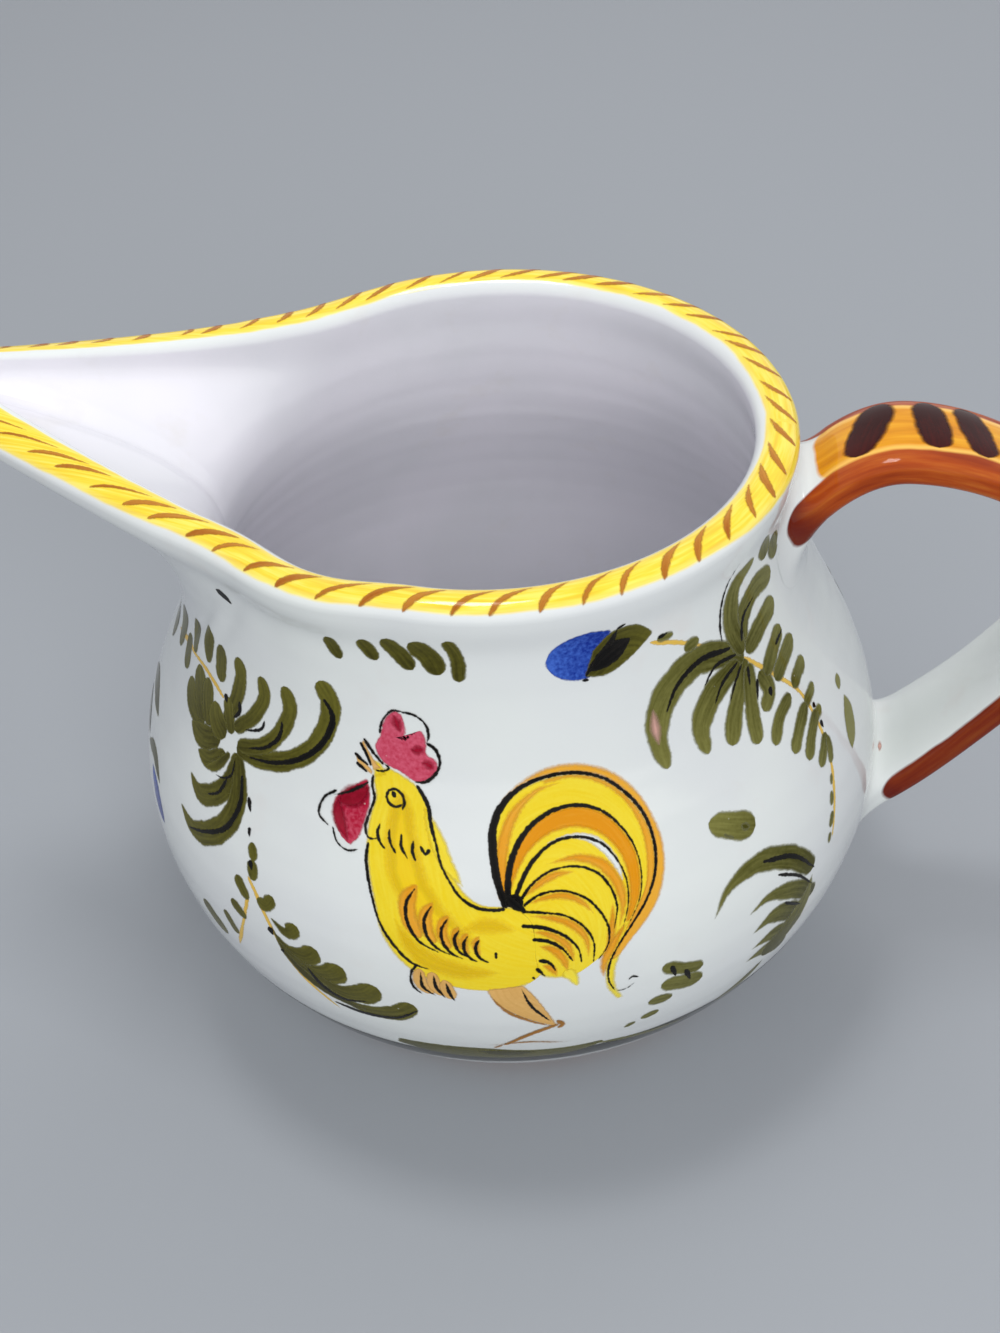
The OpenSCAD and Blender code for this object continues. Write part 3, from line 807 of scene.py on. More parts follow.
def makeHandle():
    angles = np.linspace(0, 2 * np.pi, strap["around"], endpoint=False)
    footU, hitU, onU, runU = rootFillet(angles, True)
    footL, hitL, onL, runL = rootFillet(angles, False)
    t = np.linspace(0, 1, strap["filletRows"])[:, None, None]
    upperRows = (1 - t) ** 2 * footU + 2 * t * (1 - t) * hitU + t * t * onU
    lowerRows = ((1 - t) ** 2 * footL + 2 * t * (1 - t) * hitL + t * t * onL)[::-1]
    share = np.linspace(0, 1, strap["rows"])[1:-1, None]
    run = runU[None, :] * (1 - share) + runL[None, :] * share
    body = strapPoint(run, angles[None, :])
    points = np.concatenate([upperRows, body, lowerRows])
    normals = gridNormals(points, True)
    outward = np.sign(np.median(np.sum(normals[60] * (points[60] - points[60].mean(axis=0)), axis=-1)))
    normals = normals * outward
    lap = strap["filletRows"]
    beyond = np.linspace(0, strap["rootRun"], lap)[:, None]
    runAll = np.concatenate([runU - beyond[::-1], run, runL + beyond])
    # arc distance round the section from the middle of the outer face
    ring = np.linalg.norm(np.roll(points, -1, axis=1) - points, axis=-1)
    around = np.concatenate([np.zeros((len(points), 1)), np.cumsum(ring, axis=1)[:, :-1]], axis=1)
    quarter = strap["around"] // 4
    across = around - around[:, quarter][:, None]
    whole = ring.sum(axis=1)[:, None]
    across = (across + whole / 2) % whole - whole / 2

    def patch(side, halfWidth, corner, first, last):
        # mm inside a patch with round corners
        dx = side - (halfWidth - corner)
        dy = np.maximum(first + corner - runAll, runAll - (strapLength - last - corner))
        return corner - np.hypot(np.maximum(dx, 0), np.maximum(dy, 0)) - np.minimum(np.maximum(dx, dy), 0)

    panel = patch(np.abs(across), *strap["panel"])
    band = patch(np.abs(np.abs(across) - np.abs(across[:, :1]) + 1.3), *strap["band"])
    # the brown pools darker at both ends; over the lower half it is painted darker as painted shade
    dark = 1 - smoothStep(1, 9, np.minimum(runAll - 7.5, strapLength - strap["band"][3] - runAll))
    dark = np.maximum(dark, 0.75 * smoothStep(0.60 * strapLength, 0.74 * strapLength, runAll))
    uv = np.stack([runAll / 100, across / 100], -1)
    extra = {"panel": panel, "band": band, "endPoolAndShade": 0.9 * dark, "inside": np.zeros(across.shape)}
    rows, columns = points.shape[:2]
    faces = gridFaces(rows, columns, True)
    if outward < 0:
        faces = faces[..., ::-1]
    degrees = np.degrees(angles)[None, :] * np.ones((rows - 1, 1))
    row = np.arange(rows - 1)[:, None] * np.ones((1, columns), int)
    top = (degrees >= 45) & (degrees < 135)
    near = (degrees >= 135) & (degrees < 225)
    far = (degrees < 45) | (degrees >= 315)
    inStrap = (row >= lap - 1) & (row < rows - lap)

    def put(name, mask, stands, slot):
        makePiece(name, points, faces[mask], strapGlaze, stands, normals, uv, extra)

    put("strap_inner_face", inStrap & ~top & ~near & ~far, ("handle_strap",), "white_glaze")
    put("strap_outer_face", inStrap & top, ("handle_top_glaze",), "orange_glaze")
    put("strap_near_edge", inStrap & near, ("near_edge_glaze",), "brown_glaze")
    put("strap_far_edge", inStrap & far, ("far_edge_glaze",), "brown_glaze")
    put("upper_root_clay", row < lap - 1, ("upper_luting",), "white_glaze")
    put("lower_root_clay", row >= rows - lap, ("lower_luting",), "white_glaze")
    return points, normals, runAll, across


strapPoints, strapNormals, strapRuns, strapAcross = makeHandle()
print("handle made")


# The painting: every brush stroke is a thin film that follows the glazed surface under it.
def blendAt(grid, row, column):
    # value of a grid between its points: the four neighbours, each weighted by nearness
    rows, columns = grid.shape[:2]
    i = np.clip(np.floor(row).astype(int), 0, rows - 2)
    j = np.floor(column).astype(int)
    u, v = (row - i)[..., None], (column - j)[..., None]
    j0, j1 = j % columns, (j + 1) % columns
    return ((1 - u) * (1 - v) * grid[i, j0] + (1 - u) * v * grid[i, j1]
            + u * (1 - v) * grid[i + 1, j0] + u * v * grid[i + 1, j1])


turnsClosed = np.append(turns, 180.0)
plainColumn = int(np.argmin(np.abs(turns - 100)))
wallRows = np.arange(marks["low"][0], waistRow + 1)
wallUp = wallRise[wallRows, plainColumn]


def onWall(turn0, up0, flip=1):
    # flat drawing coordinates in mm, x towards the handle and y up the wall, wrapped on it about one place
    def place(xy):
        up = up0 + xy[..., 1]
        row = np.interp(up, wallUp, wallRows)
        radius = np.interp(up, wallUp, profile[wallRows, plainColumn, 0])
        turn = (turn0 + flip * np.degrees(xy[..., 0] / radius) + 180) % 360 - 180
        column = np.interp(turn, turnsClosed, np.arange(len(turnsClosed)))
        return blendAt(jugPoints, row, column), unit(blendAt(jugNormals, row, column))
    return place


def onRim(xy):
    # x runs round the rim, y over the roll of the lip from its crest inwards
    along = xy[..., 0] % rimLength
    column = np.interp(along, np.append(rimAlong, rimLength), np.arange(columnCount + 1))
    near = np.round(column).astype(int) % columnCount
    arcs = beadArc[marks["flankOut"][0]:beadLast + 6][:, near]
    below = np.clip((arcs < xy[..., 1]).sum(axis=0) - 1, 0, len(arcs) - 2)
    first = np.take_along_axis(arcs, below[None], 0)[0]
    second = np.take_along_axis(arcs, below[None] + 1, 0)[0]
    row = marks["flankOut"][0] + below + np.clip((xy[..., 1] - first) / (second - first), 0, 1)
    return blendAt(jugPoints, row, column), unit(blendAt(jugNormals, row, column))


def onStrap(xy):
    # x runs along the strap from the neck, y across its outer face from the middle
    columns = strapPoints.shape[1]
    middleRow = len(strapPoints) // 2
    quarter = columns // 4
    ordered = np.roll(strapAcross[middleRow], -quarter + columns // 2)
    ordered[0] = -abs(ordered[0])
    column = np.interp(xy[..., 1], ordered, np.arange(columns)) + quarter - columns // 2
    near = np.round(column).astype(int) % columns
    runs = strapRuns[:, near]
    below = np.clip((runs < xy[..., 0]).sum(axis=0) - 1, 0, len(runs) - 2)
    first = np.take_along_axis(runs, below[None], 0)[0]
    second = np.take_along_axis(runs, below[None] + 1, 0)[0]
    row = below + np.clip((xy[..., 0] - first) / np.maximum(second - first, 1e-6), 0, 1)
    return blendAt(strapPoints, row, column), unit(blendAt(strapNormals, row, column))


def ends(distance, radius):
    # quarter-round rise of a stroke's width from its end
    return np.sqrt(np.clip(1 - (1 - np.clip(distance / radius, 0, 1)) ** 2, 0, 1))


# width along the stroke as shares of the full width, and how round its head and tail are
forms = {
    "comma": ([1, 1, 1, 0.88, 0.7, 0.5, 0.3, 0.14], 1.1, 0.5),
    "lobe": ([0.9, 1, 1, 1, 1, 0.98, 0.92, 0.8], 1.0, 0.8),
    "tipped": ([0.5, 0.66, 0.86, 1, 1.04, 1.0, 0.9, 0.7], 0.9, 0.8),
    "drop": ([0.85, 1, 1, 0.86, 0.62, 0.42, 0.28, 0.18], 1.0, 0.5),
    "leaf": ([0.05, 0.5, 0.8, 0.96, 1, 0.95, 0.8, 0.52, 0.05], 0.1, 0.1),
    "claw": ([0.12, 0.6, 0.95, 1, 1, 0.95, 0.8, 0.6], 0.3, 0.7),
    "vein": ([0.5, 1, 1, 0.95, 0.8, 0.6, 0.3], 0.8, 1.5),
    "dab": ([1, 1], 1.1, 1.3),
    "pen": ([0.8, 1, 0.95, 0.8, 0.78, 0.9, 1, 0.85, 0.6], 2.5, 5),
}


def brush(line, width, form="comma", load=(1.0, 0.6), wobble=0.03):
    # a stroke: a smooth line with a width that the form gives, or that a list of shares of the width gives
    rough = throughPoints(line, 80)
    length = np.linalg.norm(np.diff(rough, axis=0), axis=1).sum()
    count = int(np.clip(length / 0.55, 13, 90))
    share = 0.6 * np.linspace(0, 1, count) + 0.4 * (0.5 - 0.5 * np.cos(np.pi * np.linspace(0, 1, count)))
    path = np.stack([np.interp(share, np.linspace(0, 1, 80), rough[:, k]) for k in (0, 1)], -1)
    s = share * length
    half = width / 2
    shares, headRound, tailRound = forms[form] if isinstance(form, str) else (form, 0.9, 0.7)
    shape = np.interp(share, np.linspace(0, 1, len(shares)), shares)
    shape = shape * ends(s, half * headRound) * ends(length - s, half * tailRound)
    sway = np.sin(s * 1.1 + chance.uniform(0, 6)) + 0.5 * np.sin(s * 2.3 + chance.uniform(0, 6))
    half = half * shape * (1 + wobble * sway)
    along = unit(np.gradient(path, axis=0))
    right = np.stack([along[:, 1], -along[:, 0]], -1)
    across = np.linspace(-1, 1, 5 if width < 1.6 else 9)
    points = path[:, None] + right[:, None] * (half[:, None] * across)[..., None]
    edge = half[:, None] * (1 - np.abs(across))
    dose = (load[0] + (load[1] - load[0]) * share)[:, None] * np.ones_like(edge)
    uv = np.stack([s[:, None] + chance.uniform(0, 500) + 0 * edge,
                   half[:, None] * across + chance.uniform(0, 500)], -1)
    return points, edge, dose, uv


def fill(left, right, load=(1.0, 0.9), steps=(46, 15), shares=(0, 1)):
    # the field between two smooth lines, or between two shares of the way from one to the other
    a, b = throughPoints(left, steps[0]), throughPoints(right, steps[0])
    across = np.linspace(shares[0], shares[1], steps[1])
    points = a[:, None] * (1 - across)[:, None] + b[:, None] * across[:, None]
    wide = np.linalg.norm(points[:, -1] - points[:, 0], axis=1)[:, None]
    part = np.abs(np.linspace(-1, 1, steps[1]))
    edge = wide / 2 * (1 - part)
    s = np.concatenate([[0], np.cumsum(np.linalg.norm(np.diff(points.mean(axis=1), axis=0), axis=1))])
    edge = np.minimum(edge, np.minimum(s, s[-1] - s)[:, None])
    dose = (load[0] + (load[1] - load[0]) * np.linspace(0, 1, steps[0]))[:, None] * np.ones_like(edge)
    uv = np.stack([s[:, None] + chance.uniform(0, 500) + 0 * edge, wide * across + chance.uniform(0, 500)],
                  -1)
    return points, edge, dose, uv


def layPaint(name, place, strokes, pigment, lift=0.045):
    # all strokes of one colour as one piece, each a hair above the last so that overlaps stay clean
    points, normals, faces, edges, doses, uvs, start = [], [], [], [], [], [], 0
    for k, (xy, edge, dose, uv) in enumerate(strokes):
        p, n = place(xy)
        p = p + n * (lift + 0.0035 * (k % 6))
        rows, columns = edge.shape
        quad = gridFaces(rows, columns, False)
        middle = quad[rows // 2 - 1, columns // 2 - 1]
        flat = p.reshape(-1, 3)
        facing = np.cross(flat[middle[1]] - flat[middle[0]], flat[middle[3]] - flat[middle[0]])
        if np.dot(facing, n.reshape(-1, 3)[middle[0]]) < 0:
            quad = quad[..., ::-1]
        points.append(flat)
        normals.append(n.reshape(-1, 3))
        faces.append(quad.reshape(-1, 4) + start)
        edges.append(edge.ravel())
        doses.append(dose.ravel())
        uvs.append(uv.reshape(-1, 2) / 100)
        start += rows * columns
    return makePiece(name, np.concatenate(points), np.concatenate(faces), pigments[pigment], (),
                     np.concatenate(normals), np.concatenate(uvs),
                     {"edge": np.concatenate(edges), "load": np.concatenate(doses)})


def lines(paths, width, form="pen", load=(1.0, 0.8)):
    return [brush(path, width, form, load) for path in paths]


def leaves(pairs, form="lobe", load=(0.5, 0.7)):
    # each pair is the line of a leaf from its tip to the stem, and its width
    return [brush(path, width * chance.uniform(0.97, 1.03), form, load) for path, width in pairs]


def rimHatching():
    # a rope pattern: slim brown strokes that leave the outer edge steeply and lie down along the roll
    count = 57
    strokes = []
    for k in range(count):
        x = rimLength * (k + chance.uniform(-0.15, 0.15)) / count
        reach, tall = chance.uniform(6.4, 8.8), chance.uniform(0.94, 1.08)
        line = [(x, -3.7 * tall), (x + 0.10 * reach, -2.3 * tall), (x + 0.34 * reach, -0.5),
                (x + 0.68 * reach, 0.8 * tall), (x + reach, 1.7 * tall)]
        strokes.append(brush(line, chance.uniform(1.3, 2.1), [0.5, 0.9, 1.0, 0.95, 0.75, 0.5, 0.22],
                             (chance.uniform(0.5, 0.95), 0.3)))
    layPaint("rim_hatching", onRim, strokes, "brown", 0.05)


def strapDashes():
    # dark bars across the orange panel, each a single fat dab: how far along the strap and how much it leans
    bars = [(25.0, -2.4), (34.6, 0.7), (42.0, 1.6), (51.4, 0.6)]
    more = int((strapLength - 78) / 9.4)
    bars += [(51.4 + 9.4 * k, [-1.2, 0.6, 1.6, -0.6][k % 4]) for k in range(1, more + 1)]
    strokes = [brush([(x - lean, -8.6), (x + 0.3 * chance.uniform(-1, 1), -0.9), (x + lean, 6.4)],
                     chance.uniform(6.3, 6.9), [0.72, 0.9, 1.0, 1.0, 0.95, 0.8], (1.0, 0.6)) for x,
               lean in bars]
    layPaint("strap_dashes", onStrap, strokes, "maroon", 0.06)


rimHatching()
strapDashes()
print("rim and strap painted")

# The rooster: turn and height on the wall of the place where the tail springs from the back, the lines of
# the fan tail from the hub round to the tips, the orange edge round it, and both sides of neck and body.
rooster = {"turn": 94.7, "up": 70.9,
           "tail": [[(0.3, 0.3), (-1.0, 5.3), (-1.6, 10.8), (-1.5, 15.1), (-0.1, 19), (3.2, 22.4),
                     (7.6, 24.1), (12.4, 24.2), (17.3, 22.4), (21.8, 18.3), (25.3, 13), (27, 7), (26.9, 2.3),
                     (25.3, -2.1), (22.4, -6.3), (20, -9.7), (18.2, -13.4), (17.9, -17.6), (19.1, -21)],
                    [(0.6, 2.6), (0.8, 6), (2.1, 11.1), (5.1, 15.6), (8.9, 17.9), (13, 18.2), (17.1, 16.4),
                     (20.9, 12.3), (23.2, 8.1), (24.3, 3.1), (24, -1.3), (22, -5.8)],
                    [(1.9, 2.3), (3.3, 5.9), (5.7, 9.7), (9.1, 12.2), (13.2, 12.4), (16.9, 10.6), (19.9, 6.7),
                     (21.5, 2.7), (21.8, -1.5), (20.7, -6.7)],
                    [(2.8, 1.9), (4.7, 4.6), (8.2, 6.9), (12.7, 7), (16, 5.4), (18.6, 1.8), (19.7, -1.8),
                     (19, -6.7)],
                    [(3.1, 0.6), (6.2, 2.7), (9.9, 2.9), (13.6, 1.2), (16.6, -2.3), (18.1, -6), (18, -9.1),
                     (16, -12.3)],
                    [(2.7, -0.3), (6.1, -0.8), (10.5, -2), (13.5, -4.5), (15.3, -8), (15.2, -12.6)],
                    [(2.6, -3.1), (6.7, -3.9), (10.4, -6.1), (12.6, -9.2), (13.1, -12.2)],
                    [(4.4, -6), (7.4, -6.7), (9.9, -8.8), (11.6, -11.6)],
                    [(5.4, -10.5), (7.2, -11.1), (8.5, -13.3)], [(5, -12.1), (6.6, -14.3)]],
           "halo": [(-0.6, 19.8), (3.2, 23.6), (7.7, 25.9), (12.5, 26.1), (17.3, 24.4), (22.7, 19.9),
                    (26.5, 13.7), (28.8, 7.1), (28.9, 1.6), (27.8, -2.6), (25.3, -6.4), (22.4, -9.5),
                    (20, -12.4)],
           "front": [(-21.6, 23.8), (-22.5, 21.6), (-22.2, 18.8), (-23.4, 15.3), (-24.2, 12), (-24.5, 7.4),
                     (-24.3, 3.7), (-23.7, -0.6), (-22.7, -6.7), (-20.4, -10.9), (-16.4, -14.6),
                     (-10.1, -16.8), (-3.8, -17.4), (1.2, -16.9)],
           "back": [(-19.4, 24.8), (-16, 23.4), (-14.2, 22.3), (-12.3, 18.9), (-11.6, 15.7), (-10.6, 11.7),
                    (-9.4, 8.4), (-8, 5.4), (-6, 2.6), (-3.4, 1), (-0.4, 0.8), (3.4, 0), (7.4, -3),
                    (8.6, -8.4), (5.6, -14.2), (2.6, -16.6)]}


def paintTail(yellow, orange, bare, pen):
    tail = rooster["tail"]
    under = [(0.6, 0.4), (2.6, -0.6), (4.6, -3), (5, -7), (5, -11), (6, -14.4), (9, -15.2), (11.6, -15),
             (13.6, -13.9), (15.6, -12.4), (16.8, -11.6)]
    yellow.append(fill(tail[0][:16], under, (0.8, 0.6), (80, 33)))
    yellow.append(fill([(22, -5), (17, -11.5), (17.1, -15), (17.3, -19), (19.4, -24)],
                       [(24.4, -5.4), (20.8, -11), (19.4, -15.6), (19.5, -19.8), (20.8, -23.4)], (0.7, 0.4),
                       (34, 9)))
    yellow.append(brush([(10, -13.4), (11.6, -15.6), (12.2, -17.8)], 3.4, [1, 0.9, 0.6, 0.3], (0.5, 0.2)))
    orange.append(fill(tail[0][4:17], rooster["halo"], (0.35, 0.3), (60, 9), (-0.12, 1)))
    orange.append(brush([(0.2, 1.6), (-0.3, 7.5), (0.5, 13.6), (2.6, 18.4), (6.4, 21.8), (10.4, 22.8)], 2.6,
                        [1, 1, 1, 1, 0.8, 0.5, 0.1], (0.8, 0.2)))
    orange.append(fill([(7, 23.9)] + tail[0][7:15],
                       [(7, 22.6), (12.4, 23), (17.6, 20.6), (22.5, 15), (24.7, 9), (25.2, 4), (24.8, 0.1),
                        (22.4, -4.6), (20.6, -8)], (0.3, 0.5), (50, 7)))
    orange.append(fill(tail[1][:11] + [(22.2, -5.6)],
                       [(1, 2.6), (2.4, 6.4), (5, 11), (8.6, 13.6), (12.1, 14.1), (16.2, 12.5), (19.2, 9.4),
                        (21.4, 4.4), (21.8, -1), (20.9, -6)], (0.9, 0.8), (60, 11), (-0.03, 1.02)))
    for path, wide in (([(7.4, 8.2), (12.7, 8.6), (16.8, 6.8), (19.7, 2.8), (20.8, -1.4), (20, -6.6)], 2.5),
                       ([(3.2, 2.2), (5.6, 4.3), (8.8, 6), (12.4, 6.1)], 2.0),
                       ([(3.6, 0.8), (6.8, 1.9), (10, 2), (13, 0.5), (15.6, -2.6)], 1.9),
                       ([(18.9, -1), (18.8, -5), (18.2, -9), (17, -12)], 1.9),
                       ([(4, -1.3), (8, -2.1), (11.8, -4.1), (14, -7.2), (14.4, -11.6)], 2.0),
                       ([(4, -4.3), (7.6, -5.4), (10.6, -8), (11.9, -12)], 2.0),
                       ([(5.4, -7.4), (8.2, -8.6), (10, -11.2), (10.6, -14)], 2.2),
                       ([(6, -11.6), (7.8, -12.7), (8.6, -14.6)], 1.9),
                       ([(21.4, -5.4), (18.8, -9.6), (17.2, -13), (17, -17)], 2.4)):
        orange.append(brush(path, wide, "leaf", (0.7, 0.5)))
    bare.append(fill([(7.4, 12.1), (11.5, 13.3), (15.4, 12.6), (18.2, 10.2), (20.6, 5.6), (21, 2.4)],
                     [(7.4, 11.8), (11.4, 12.3), (14.4, 11.2), (16.8, 9), (18.9, 6), (20.7, 2.6)], (1, 1),
                     (40, 9)))
    pen.append(brush(tail[0], 1.65,
                     [0.8, 0.95, 1.0, 0.98, 0.85, 0.62, 0.52, 0.5, 0.46, 0.44, 0.44, 0.44, 0.44, 0.44, 0.42,
                      0.38, 0.36, 0.32, 0.24], (1.2, 1)))
    pen.append(brush(tail[1], 1.35, [1.0, 1.0, 0.95, 0.82, 0.72, 0.66, 0.5, 0.4, 0.36, 0.34, 0.3, 0.2],
                     (1.2, 0.9)))
    pen.append(brush(tail[2], 1.0, [1.0, 1.0, 0.9, 0.78, 0.72, 0.6, 0.5, 0.45, 0.4, 0.2], (1.1, 0.7)))
    pen += lines(tail[3:6], 0.76, [1.0, 0.9, 0.8, 0.8, 0.8, 0.7, 0.35], (1.1, 0.7))
    pen += lines(tail[6:], 1.0, [0.9, 1.0, 0.8, 0.6, 0.4], (1.1, 0.7))
    pen.append(brush([(0.1, 0.8), (1.5, 1.8), (3.2, 0.7)], 3.0, "leaf", (1.3, 1.3)))
    pen.append(brush([(0.2, 3.2), (1.4, 1.4), (3.8, -0.6)], 1.8, "leaf", (1.3, 1.3)))
    pen.append(brush([(19, -21), (20.9, -21.2), (22.8, -20)], 0.4, "leaf", (0.7, 0.3)))
    pen.append(brush([(21.5, -18.9), (22.3, -18.3), (23.6, -18.8)], 0.6, "leaf", (0.9, 0.6)))


def paintHead(yellow, legs, red, wine, pen):
    legs += [fill([(-23.7, 29), (-21.4, 25), (-20.4, 24)], [(-24.3, 28), (-22.9, 25), (-22.2, 23.4)],
                  (0.4, 0.5), (16, 7)),
             fill([(-25.6, 26), (-23.2, 24.3), (-22.2, 23.4)], [(-25.3, 24.2), (-23.4, 22.9), (-22.4, 22.4)],
                  (0.4, 0.5), (16, 7))]
    yellow.append(fill([(-23, 25.6), (-22.4, 24), (-22.4, 22)], [(-20.6, 25.4), (-20.2, 24.6), (-19.4, 23)],
                       (0.7, 0.7), (14, 7)))
    pen += lines([[(-24.4, 28.3), (-23.1, 25.8), (-22.5, 24.1)],
                  [(-23.7, 29.2), (-21.8, 26.6), (-20.1, 24.9)], [(-25.6, 26), (-24.4, 25), (-23, 24.2)],
                  [(-25.4, 24.3), (-24.4, 23.6), (-23.3, 22.9)]], 0.85, [0.8, 1.0, 0.9, 0.6])
    pen.append(brush([(-21.8, 23.6), (-20.4, 23.7), (-19.2, 24.5), (-20.2, 25.2)], 0.7, "pen"))
    red.append(fill([(-17.6, 35.8), (-19.7, 33.4), (-20.7, 30.2), (-21.7, 27.8), (-20.3, 25.3), (-17.4, 24.2),
                     (-14.6, 22.8), (-12.9, 22.9)],
                    [(-16.3, 35.1), (-15.6, 32.4), (-15.9, 29.9), (-14.5, 31.4), (-12.9, 32.5), (-12.1, 30.2),
                     (-12.1, 28.3), (-10.6, 27.3), (-10.2, 25.4), (-11.8, 23.5)], (0.45, 0.5), (60, 19)))
    wine += lines([[(-17.8, 34.8), (-17.2, 33), (-16.6, 31.4)], [(-15.2, 28.7), (-13.8, 28.7), (-12.4, 29.4)],
                   [(-13.4, 26.6), (-11.9, 26.2), (-11, 25.4)]], 2.2, "leaf", (0.3, 0.3))
    pen.append(brush([(-20.6, 30.5), (-19.8, 33.3), (-17.7, 35.5), (-15.8, 35.5)], 0.6, "pen", (0.8, 0.9)))
    pen.append(brush([(-16.4, 35.4), (-13.9, 35.2), (-12.1, 33.7), (-11.7, 31.9), (-12.1, 30.2)], 0.72,
                     "pen"))
    pen.append(brush([(-12.3, 30.4), (-10.6, 29.2), (-10, 27.5), (-10.4, 25.5), (-11.5, 24), (-13.1, 22.9),
                      (-14.8, 22.8)], 0.85, "pen"))
    red.append(fill([(-23.8, 21.7), (-27.5, 18.9), (-30.1, 16.6), (-30.8, 14.4), (-30.4, 11.4), (-29.1, 9.4),
                     (-27.6, 8.5)],
                    [(-23.2, 21.4), (-23, 19.5), (-23, 17.4), (-23.6, 15.3), (-24.4, 13.1), (-25.6, 10.4),
                     (-27.4, 8.5)], (0.95, 0.6), (40, 15)))
    wine += [brush([(-22.8, 20.4), (-26.2, 17.8), (-29.9, 15.6)], 4.4, "leaf", (0.6, 0.6)),
             brush([(-29.4, 17), (-29.4, 12.6), (-27.8, 9)], 3.4, "leaf", (0.6, 0.4))]
    pen.append(brush([(-23, 21.2), (-25.7, 19.3), (-28.4, 17.7), (-30.4, 16.8)], 0.8, [0.6, 1.0, 0.8, 0.3]))
    pen.append(brush([(-29.5, 18), (-32.5, 15.5), (-33.6, 12.1), (-31.4, 10.7)], 0.75, "pen", (0.9, 0.8)))
    pen.append(brush([(-30.9, 11), (-30, 8.2), (-28.2, 7.4), (-25.9, 8.2)], 0.6, "pen", (0.9, 0.6)))
    # eye: an almond with a short tail, and the pupil touching its upper lid
    pen.append(brush([(-17.2, 17.2), (-16.7, 18.7), (-17.2, 20.3), (-18.3, 20.9), (-19.6, 20.2),
                      (-19.9, 18.8), (-19, 17.7), (-17.5, 18), (-16.7, 18.7)], 0.8, "pen"))
    pen.append(brush([(-18.8, 20.4), (-18.3, 19.3)], 1.1, "dab"))


